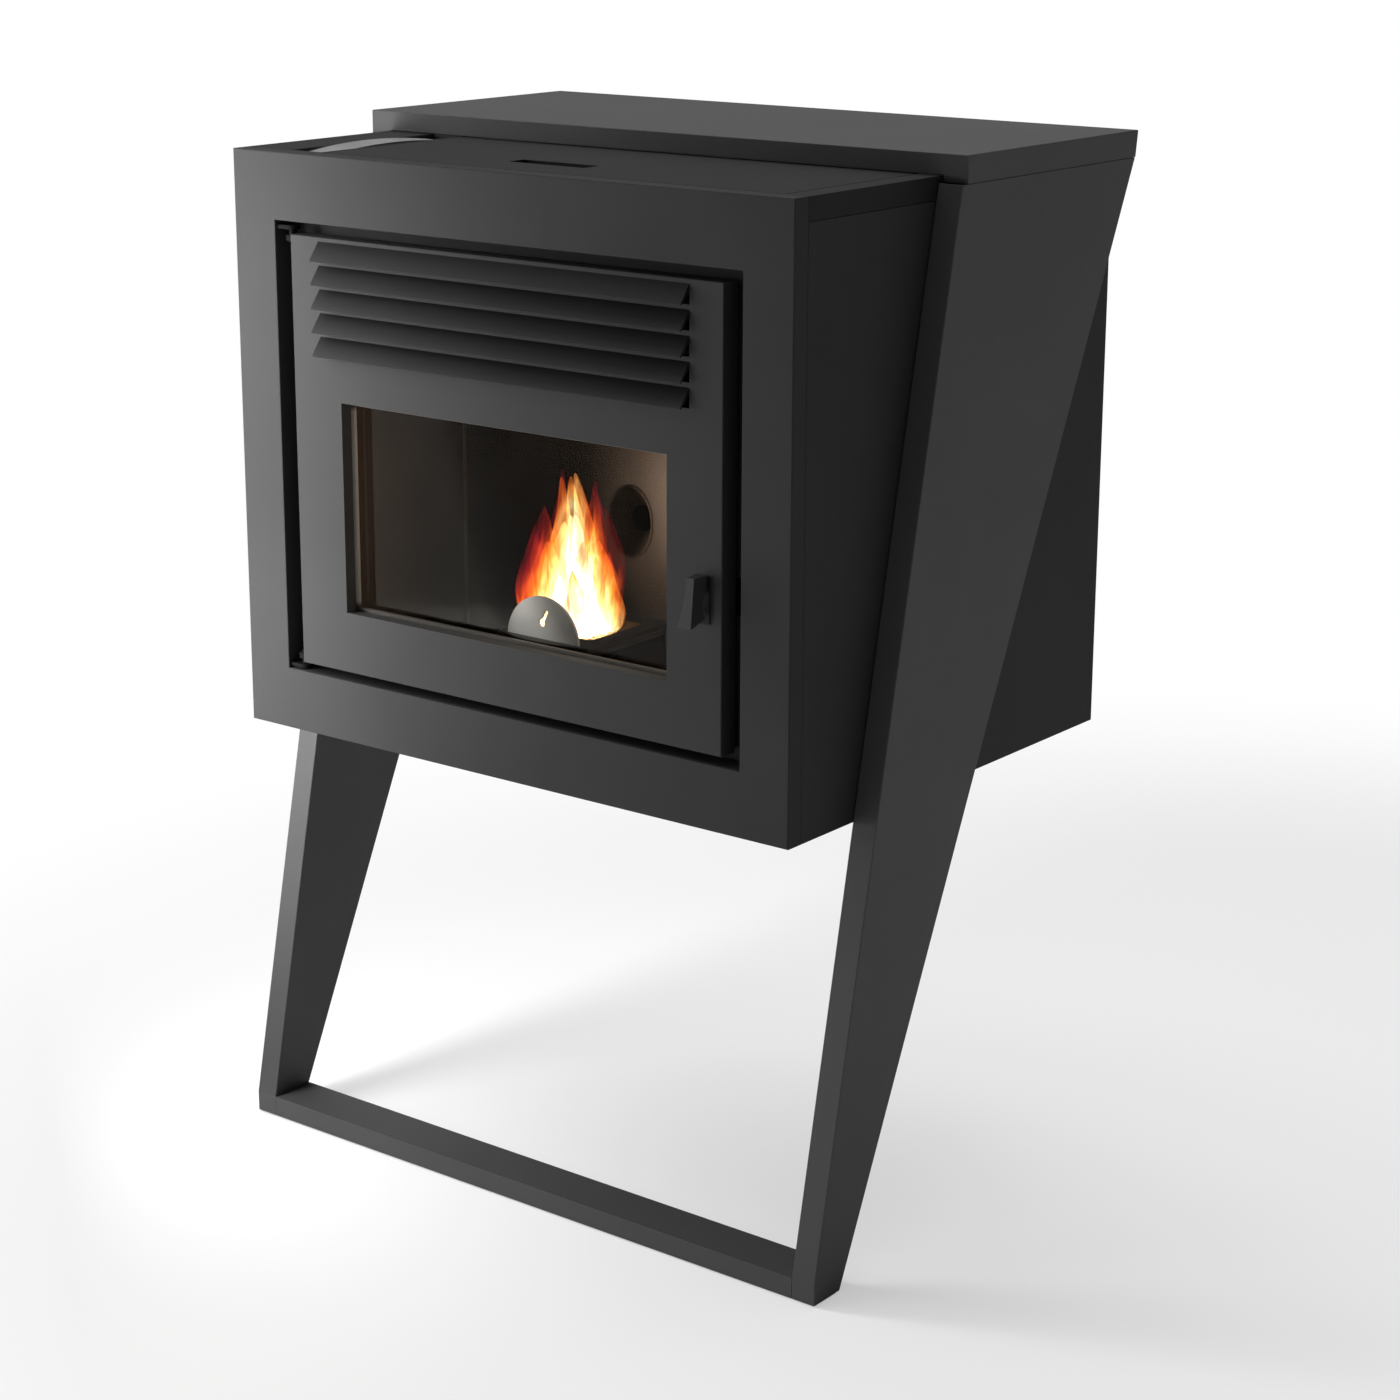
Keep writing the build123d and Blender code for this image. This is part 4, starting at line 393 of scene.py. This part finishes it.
# ------------------------------------------------------------------ firebox liner
# One folded stainless sheet, brushed upright and clouded with smoke. A pool of light is painted on the
# right of its back, painted shade darkens its sides more and more from front to back, and the rest is
# dark with soot and painted shade.
CLEAN_STEEL_IN_LIGHT = "#8c847e"
BROWNED_IN_HALF_SHADE = "#59504a"
SOOTED_IN_SHADE = "#1f1a17"
BRUSHED = 1 / 420
SMOKE_CLOUD = 1 / 9
SMOKE_SHARE = 0.35
PAINTED_LIGHT_AT = (0.15, -0.07, 0.745)
PAINTED_LIGHT_WITHIN = 0.04
PAINTED_SHADE_BEYOND = 0.24
LIGHT_POOL_TONE = -0.15
BEYOND_POOL_TONE = 0.8
SIDE_FRONT_Y = -0.25
SIDE_BACK_Y = -0.07
SIDE_FRONT_SHADE = 0.285
SIDE_BACK_SHADE = 1.05
FOLD_AT = (-0.2348, -0.0692, 0)
FOLD_BRIGHT = 0.0015
FOLD_ENDS = 0.0035
FOLD_HIGHLIGHT = 0.5
liner_steel, tree, out = new_material("heat_tinted_stainless")
place = add_node(tree, "TexCoord")
drawn = add_node(tree, "Mapping", {"Vector": place.outputs["Object"], "Scale": (1, 1, 0.04)})
brush = add_node(tree, "TexNoise", {"Vector": drawn.outputs[0], "Scale": 1 / BRUSHED, "Detail": 3.0})
smoke = add_node(tree, "TexNoise", {"Vector": place.outputs["Object"], "Scale": 1 / SMOKE_CLOUD,
                                    "Detail": 4.0})
# A pool of painted light on the right of the back, fading into painted shade further off.
off_light_pool = add_node(tree, "VectorMath", {0: place.outputs["Object"], 1: PAINTED_LIGHT_AT}, operation="DISTANCE")
back_painted_shade = add_node(tree, "MapRange", {"Value": off_light_pool.outputs["Value"], "From Min": PAINTED_LIGHT_WITHIN,
                                        "From Max": PAINTED_SHADE_BEYOND, "To Min": LIGHT_POOL_TONE, "To Max": BEYOND_POOL_TONE},
                     interpolation_type="SMOOTHSTEP")
depth = add_node(tree, "SeparateXYZ", {0: place.outputs["Object"]})
# Painted shade on the sides, darker towards the back.
side_painted_shade = add_node(tree, "MapRange", {"Value": depth.outputs["Y"], "From Min": SIDE_FRONT_Y,
                                        "From Max": SIDE_BACK_Y, "To Min": SIDE_FRONT_SHADE,
                                        "To Max": SIDE_BACK_SHADE})
least = add_node(tree, "Math", {0: back_painted_shade.outputs[0], 1: side_painted_shade.outputs[0]}, operation="MINIMUM")

# A painted highlight runs up the left fold, as a narrow upright line.
in_plan = add_node(tree, "VectorMath", {0: place.outputs["Object"], 1: (1, 1, 0)}, operation="MULTIPLY")
off_fold = add_node(tree, "VectorMath", {0: in_plan.outputs[0], 1: FOLD_AT}, operation="DISTANCE")
fold_highlight = add_node(tree, "MapRange", {"Value": off_fold.outputs["Value"], "From Min": FOLD_BRIGHT,
                                     "From Max": FOLD_ENDS, "To Min": FOLD_HIGHLIGHT, "To Max": 0.0})
highlighted = add_node(tree, "Math", {0: least.outputs[0], 1: fold_highlight.outputs[0]}, operation="SUBTRACT")
soot_and_shade = add_node(tree, "Math", {0: smoke.outputs[0], 1: SMOKE_SHARE, 2: highlighted.outputs[0]},
                   operation="MULTIPLY_ADD", use_clamp=True)
stain_and_shade = add_node(tree, "ValToRGB", {"Fac": soot_and_shade.outputs[0]},
                 stops=((0, linear(CLEAN_STEEL_IN_LIGHT)), (0.5, linear(BROWNED_IN_HALF_SHADE)), (1, linear(SOOTED_IN_SHADE))))
rough = add_node(tree, "MapRange", {"Value": brush.outputs[0], "To Min": 0.42, "To Max": 0.56})
bump = add_node(tree, "Bump", {"Height": brush.outputs[0], "Strength": 0.3, "Distance": 0.00003})
metal = add_node(tree, "BsdfPrincipled", {"Base Color": stain_and_shade.outputs[0], "Roughness": rough.outputs[0],
                                          "Normal": bump.outputs[0], "Metallic": 0.4,
                                          "Specular IOR Level": 0.1})
tree.links.new(metal.outputs[0], out.inputs["Surface"])
give(liner_steel, "firebox_liner")

# ------------------------------------------------------------------ chute mouth and firebox
# The mouth is a spun oval dish of the same steel, set in the liner, with painted shade that darkens it
# from its right side to its left. The welded box behind the liner, the baffle and the pot's seat are sooted
# plate.
MOUTH_STEEL = "#5a4d43"
# Painted shade on the dish, darker towards its left.
MOUTH_SHADE = ((0.03, 0, 0), (1, 0, 0), 0.008, 0.03, 0.1)
spun_steel = bare_metal("spun_steel_painted_shade", MOUTH_STEEL, 0.38, grain=1 / 120, metallic=0.4,
                        painted_shade=MOUTH_SHADE)
give(spun_steel, "chute_mouth")
SOOTED_PLATE = "#1c1815"
sooted_plate = coated_steel("sooted_plate", SOOTED_PLATE, 0.75, grain=0.004, relief=0.0002, shine=0.04)
give(sooted_plate, "firebox", "baffle_plate", "pot_seat")

# ------------------------------------------------------------------ burn pot and deflector
# The pot is grey cast iron with a sand-cast skin. The deflector is a half disc of polished
# stainless steel that stands on the pot's rim, with painted shade that darkens it from its lower left to its
# upper right.
CAST_IRON = "#6c6a67"
pot_iron = bare_metal("sand_cast_iron", CAST_IRON, 0.42, grain=1 / 260, relief=0.0002, spread=0.2)
give(pot_iron, "burn_pot")
POLISHED_STEEL = "#d3dbe4"
# Painted shade across the deflector, darker towards its upper right.
DISC_SHADE = ((-0.06, 0, 0.59), (0.78, 0, 0.62), 0.05, 0.1, 0.24)
mirror_steel = bare_metal("polished_stainless", POLISHED_STEEL, 0.3, grain=1 / 60, relief=0.00001,
                          metallic=0.25, painted_shade=DISC_SHADE)
give(mirror_steel, "pot_deflector")

# ------------------------------------------------------------------ flue, pipes and ducts
# Hot-dip galvanised sheet for the hopper, ducts and pipes, with the pale crystals that the bath
# leaves, eleven millimetres wide. The fan's housing is cast aluminium, and the feed tube is steel
# that the heat has coloured.
SPANGLE = 1 / 90
SPANGLE_DARK = "#8b9094"
SPANGLE_LIGHT = "#b4b8ba"
galvanised, tree, out = new_material("galvanised_sheet")
place = add_node(tree, "TexCoord")
spangle = add_node(tree, "TexVoronoi", {"Vector": place.outputs["Object"], "Scale": 1 / SPANGLE})
tone = add_node(tree, "ValToRGB", {"Fac": spangle.outputs["Color"]},
                stops=((0, linear(SPANGLE_DARK)), (1, linear(SPANGLE_LIGHT))))
rough = add_node(tree, "MapRange", {"Value": spangle.outputs["Distance"], "To Min": 0.34, "To Max": 0.5})
metal = add_node(tree, "BsdfPrincipled", {"Base Color": tone.outputs[0], "Roughness": rough.outputs[0],
                                          "Metallic": 1.0})
tree.links.new(metal.outputs[0], out.inputs["Surface"])
give(galvanised, "hopper", "air_pipe", "smoke_duct", "flue_spigot", "warm_air_duct", "room_fan_housing",
     "room_fan_drum", "flue_fan_wheel")
CAST_ALLOY = "#9a9b9c"
cast_alloy = bare_metal("die_cast_aluminium", CAST_ALLOY, 0.5, grain=1 / 220, relief=0.0001)
give(cast_alloy, "flue_fan_housing")
HEATED_STEEL = "#5b5450"
heated_steel = bare_metal("heat_blued_tube", HEATED_STEEL, 0.5, grain=1 / 120)
give(heated_steel, "feed_tube")

# ------------------------------------------------------------------ motors
# The cases of the feed motor and of both fan motors are pressed steel, dipped in black enamel,
# which is glossier than the coats outside.
ENAMEL = "#161616"
motor_enamel = coated_steel("motor_enamel", ENAMEL, 0.3, relief=0.00001)
give(motor_enamel, "auger_motor", "flue_fan_motor", "room_fan_motor")

# ------------------------------------------------------------------ control board
# A fibreglass board with a green solder mask, bearing relays and connectors in black. What stands
# off the board is told from it by its distance from the casing's side.
MASK_DARK = "#0f4a2a"
MASK_LIGHT = "#1c6a3e"
RELAY = "#1a1a1c"
BOARD_FACE = 0.0022
TRACK = 1 / 160
board_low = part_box("control_board")[0]
board, tree, out = new_material("solder_mask_board")
place = add_node(tree, "TexCoord")
apart = add_node(tree, "SeparateXYZ", {0: place.outputs["Object"]})
above = add_node(tree, "Math", {0: apart.outputs["X"], 1: board_low.x + BOARD_FACE},
                 operation="GREATER_THAN")
tracks = add_node(tree, "TexNoise", {"Vector": place.outputs["Object"], "Scale": 1 / TRACK, "Detail": 2.0})
mask = add_node(tree, "ValToRGB", {"Fac": tracks.outputs[0]},
                stops=((0.45, linear(MASK_DARK)), (0.55, linear(MASK_LIGHT))))
look = add_node(tree, "Mix", {0: above.outputs[0], 6: mask.outputs[0], 7: linear(RELAY)}, data_type="RGBA")
plastic = add_node(tree, "BsdfPrincipled", {"Base Color": look.outputs[2], "Roughness": 0.45})
tree.links.new(plastic.outputs[0], out.inputs["Surface"])
give(board, "control_board")

# ------------------------------------------------------------------ power inlet and switch
# A socket for a mains lead beside a rocker, clipped into the back panel. Both are moulded in black
# polyamide: the inlet has a spark-eroded grain, and the rocker is polished.
INLET_BLACK = "#151515"
ROCKER_BLACK = "#1a1a1a"
SPARK_GRAIN = 1 / 900


def moulded_plastic(name, colour, roughness, relief):
    """Moulded plastic: an even colour with the mould's fine grain, drawn coarser than it is."""
    material, tree, out = new_material(name)
    place = add_node(tree, "TexCoord")
    grain = add_node(tree, "TexNoise", {"Vector": place.outputs["Object"], "Scale": 1 / SPARK_GRAIN,
                                        "Detail": 2.0})
    bump = add_node(tree, "Bump", {"Height": grain.outputs[0], "Strength": 0.4, "Distance": relief})
    rough = add_node(tree, "MapRange", {"Value": grain.outputs[0], "To Min": roughness - 0.04,
                                        "To Max": roughness + 0.06})
    plastic = add_node(tree, "BsdfPrincipled", {"Base Color": linear(colour), "Roughness": rough.outputs[0],
                                                "Normal": bump.outputs[0], "IOR": 1.5})
    tree.links.new(plastic.outputs[0], out.inputs["Surface"])
    return material


give(moulded_plastic("grained_polyamide", INLET_BLACK, 0.5, 0.00006), "power_inlet")
give(moulded_plastic("polished_polyamide", ROCKER_BLACK, 0.2, 0.000005), "power_rocker")

# ------------------------------------------------------------------ embers
# Wood pellets, six millimetres thick, burning in the pot's cup. One pellet is turned and copied,
# and each lies as it fell, in layers. They glow from orange in their cracks to yellow.
CHAR = "#2b1c12"
GLOW_DARK = "#ff5a08"
GLOW_LIGHT = "#ffd070"
CRUST = 1 / 120
PELLET_RADIUS = 0.003
PELLET_LENGTH = 0.016
PELLET_EDGE = 0.0007
PELLETS = 55
PELLETS_IN_LAYER = 18
LAYER = 0.0075
CUP_Y = -0.147
CUP_FLOOR = 0.5765
HEAP_HALF = 0.032
TIPPED = 22
ember, tree, out = new_material("glowing_pellets")
place = add_node(tree, "TexCoord")
crust = add_node(tree, "TexNoise", {"Vector": place.outputs["Object"], "Scale": 1 / CRUST, "Detail": 5.0})
tone = add_node(tree, "ValToRGB", {"Fac": crust.outputs[0]},
                stops=((0.35, linear(GLOW_DARK)), (0.6, linear(GLOW_LIGHT))))
coal = add_node(tree, "BsdfPrincipled", {"Base Color": linear(CHAR), "Roughness": 0.9,
                                         "Emission Color": tone.outputs[0], "Emission Strength": 1.2})
tree.links.new(coal.outputs[0], out.inputs["Surface"])
random.seed(7)
bpy.ops.object.select_all(action="DESELECT")
bpy.ops.mesh.primitive_cylinder_add(vertices=10, radius=PELLET_RADIUS, depth=PELLET_LENGTH)
pellet = bpy.context.object
pellet.name = "ember_bed"
bpy.ops.object.mode_set(mode="EDIT")
bpy.ops.mesh.select_all(action="SELECT")
bpy.ops.mesh.bevel(offset=PELLET_EDGE, segments=1)
bpy.ops.object.mode_set(mode="OBJECT")
pellets = [pellet]
while len(pellets) < PELLETS:
    other = pellet.copy()
    other.data = pellet.data.copy()
    bpy.context.scene.collection.objects.link(other)
    pellets.append(other)
for number, piece in enumerate(pellets):
    aside = random.uniform(-HEAP_HALF, HEAP_HALF)
    back = random.uniform(-HEAP_HALF, HEAP_HALF)
    piece.location = (aside, CUP_Y + back, CUP_FLOOR + number // PELLETS_IN_LAYER * LAYER)
    piece.rotation_euler = (math.radians(90 + random.uniform(-TIPPED, TIPPED)), 0, random.uniform(0, math.pi))
bpy.ops.object.select_all(action="DESELECT")
for piece in pellets:
    piece.select_set(True)
bpy.context.view_layer.objects.active = pellet
bpy.ops.object.join()
bpy.ops.object.transform_apply(location=True, rotation=True, scale=True)
pellet.data.materials.clear()
pellet.data.materials.append(ember)
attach(pellet, "pot")

# ------------------------------------------------------------------ flame
# Burning gas that stands on the pot in three nests of thin, swaying tongues. It only adds light:
# white in its core, yellow and orange further out and up, red at its edges, and streaked upwards.
GAS_AT = (-0.009, -0.158, 0.605)
HOT_AT = (-0.006, -0.156, 0)
GAS_TALL = 0.19
GAS_WIDE = 0.06
GAS_WIDE_AT_TIP = 0.024
STREAK = 1 / 75
STREAK_DRAWN = 0.28
STREAK_FROM = 0.36
STREAK_TO = 0.62
STREAK_LEFT = 0.3
CORE_HEAT = 1.26
OUTWARD_COOLS = 0.86
CORE_SPARED = 0.27
UPWARD_COOLS = 0.76
STREAK_COOLS = 0.5
DIMMEST = 1.1
BRIGHTEST = 2.7
THINNEST = 0.18
THICKEST = 0.75
HUES = ((0.08, "#ad2029"), (0.25, "#ea5222"), (0.42, "#fb8c2c"), (0.62, "#ffd88a"), (0.85, "#fffaee"))
flame, tree, out = new_material("burning_gas")
place = add_node(tree, "TexCoord")
off_axis = add_node(tree, "VectorMath", {0: place.outputs["Object"], 1: HOT_AT}, operation="SUBTRACT")
apart = add_node(tree, "SeparateXYZ", {0: off_axis.outputs[0]})
height = add_node(tree, "MapRange", {"Value": apart.outputs["Z"], "From Min": GAS_AT[2],
                                     "From Max": GAS_AT[2] + GAS_TALL})
flat = add_node(tree, "CombineXYZ", {"X": apart.outputs["X"], "Y": apart.outputs["Y"]})
from_axis = add_node(tree, "VectorMath", {0: flat.outputs[0]}, operation="LENGTH")
width = add_node(tree, "MapRange", {"Value": height.outputs[0], "To Min": GAS_WIDE,
                                    "To Max": GAS_WIDE_AT_TIP})
outward = add_node(tree, "Math", {0: from_axis.outputs["Value"], 1: width.outputs[0]}, operation="DIVIDE")
drawn = add_node(tree, "Mapping", {"Vector": place.outputs["Object"], "Scale": (1, 1, STREAK_DRAWN)})
lick = add_node(tree, "TexNoise", {"Vector": drawn.outputs[0], "Scale": 1 / STREAK, "Detail": 3.0,
                                   "Distortion": 0.6})
cool = add_node(tree, "Math", {0: outward.outputs[0], 1: OUTWARD_COOLS, 2: -CORE_SPARED},
                operation="MULTIPLY_ADD")
cooler = add_node(tree, "Math", {0: height.outputs[0], 1: UPWARD_COOLS, 2: cool.outputs[0]},
                  operation="MULTIPLY_ADD")
coolest = add_node(tree, "Math", {0: lick.outputs[0], 1: STREAK_COOLS, 2: cooler.outputs[0]},
                   operation="MULTIPLY_ADD")
heat = add_node(tree, "Math", {0: CORE_HEAT, 1: coolest.outputs[0]}, operation="SUBTRACT", use_clamp=True)
hue = add_node(tree, "ValToRGB", {"Fac": heat.outputs[0]},
               stops=[(position, linear(colour)) for position, colour in HUES])
bright = add_node(tree, "MapRange", {"Value": heat.outputs[0], "To Min": DIMMEST, "To Max": BRIGHTEST})
streak = add_node(tree, "MapRange", {"Value": lick.outputs[0], "From Min": STREAK_FROM,
                                     "From Max": STREAK_TO, "To Min": 1.0, "To Max": STREAK_LEFT},
                  interpolation_type="SMOOTHSTEP")
body = add_node(tree, "MapRange", {"Value": heat.outputs[0], "To Min": THINNEST, "To Max": THICKEST})
thick = add_node(tree, "Math", {0: streak.outputs[0], 1: body.outputs[0]}, operation="MULTIPLY")
power = add_node(tree, "Math", {0: thick.outputs[0], 1: bright.outputs[0]}, operation="MULTIPLY")
burn = add_node(tree, "Emission", {"Color": hue.outputs[0], "Strength": power.outputs[0]})
gap = add_node(tree, "BsdfTransparent")
veil = add_node(tree, "AddShader", {0: gap.outputs[0], 1: burn.outputs[0]})
tree.links.new(veil.outputs[0], out.inputs["Surface"])

# A tongue is a ring drawn up in steps. At each step it grows or narrows by FULLNESS, bulges away
# from the flame's middle and sways from side to side. A nest is its number of tongues, their
# distance from the flame's middle, their radius and their height, and no two tongues are alike.
NESTS = ((6, 0.008, 0.018, 0.158), (11, 0.028, 0.015, 0.150), (19, 0.042, 0.012, 0.116))
FULLNESS = (1.18, 1.06, 0.98, 0.93, 0.9, 0.87, 0.84, 0.8, 0.74, 0.62, 0.35)
NEST_DEPTH = 0.75
BULGE_WIDE = 0.005
BULGE_DEEP = 0.003
BULGE_ARC = 3.1
SWAY_ARC = 7
OUT_OF_STEP = 0.3
HEIGHTS = (0.62, 1.2)
SWAYS = (0.0025, 0.0055)
PHASES = (0, 6.28)
GIRTHS = (0.8, 1.2)


def middle_line(turn, sway, phase, share):
    """How far a tongue's middle stands from its foot, to the right and back, at a share of its height."""
    bulge = math.sin(share * BULGE_ARC)
    return (math.cos(turn) * BULGE_WIDE * bulge + sway * math.sin(phase + share * SWAY_ARC),
            math.sin(turn) * BULGE_DEEP * bulge)


random.seed(19)
tongues = []
for number, reach, radius, tall in NESTS:
    for step in range(number):
        turn = 2 * math.pi * (step + random.uniform(-OUT_OF_STEP, OUT_OF_STEP)) / number
        foot = (GAS_AT[0] + reach * math.cos(turn),
                GAS_AT[1] + NEST_DEPTH * reach * math.sin(turn),
                GAS_AT[2])
        rise = tall * random.uniform(*HEIGHTS) / len(FULLNESS)
        sway = random.uniform(*SWAYS)
        phase = random.uniform(*PHASES)
        bpy.ops.object.select_all(action="DESELECT")
        bpy.ops.mesh.primitive_circle_add(vertices=8, radius=radius * random.uniform(*GIRTHS),
                                          fill_type="NGON", location=foot)
        tongue = bpy.context.object
        bpy.ops.object.transform_apply(location=True, rotation=True, scale=True)
        bpy.ops.object.mode_set(mode="EDIT")
        bpy.ops.mesh.select_all(action="SELECT")
        for level, fuller in enumerate(FULLNESS):
            x0, y0 = middle_line(turn, sway, phase, level / len(FULLNESS))
            x1, y1 = middle_line(turn, sway, phase, (level + 1) / len(FULLNESS))
            bpy.ops.mesh.extrude_region_move(TRANSFORM_OT_translate={"value": (x1 - x0, y1 - y0, rise)})
            bpy.ops.transform.resize(value=(fuller, fuller, 1))
        bpy.ops.mesh.select_all(action="SELECT")
        bpy.ops.mesh.normals_make_consistent(inside=False)
        bpy.ops.object.mode_set(mode="OBJECT")
        smooth = tongue.modifiers.new("smooth", "SUBSURF")
        smooth.levels = smooth.render_levels = 1
        bpy.ops.object.modifier_apply(modifier="smooth")
        tongues.append(tongue)
bpy.ops.object.select_all(action="DESELECT")
for piece in tongues:
    piece.select_set(True)
fire = tongues[0]
bpy.context.view_layer.objects.active = fire
bpy.ops.object.join()
bpy.ops.object.shade_smooth()
fire.name = "flame"
fire.data.materials.clear()
fire.data.materials.append(flame)
fire.visible_diffuse = fire.visible_glossy = False
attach(fire, "pot")

# ------------------------------------------------------------------ view layer
# The view layer is brought up to date.
bpy.context.view_layer.update()
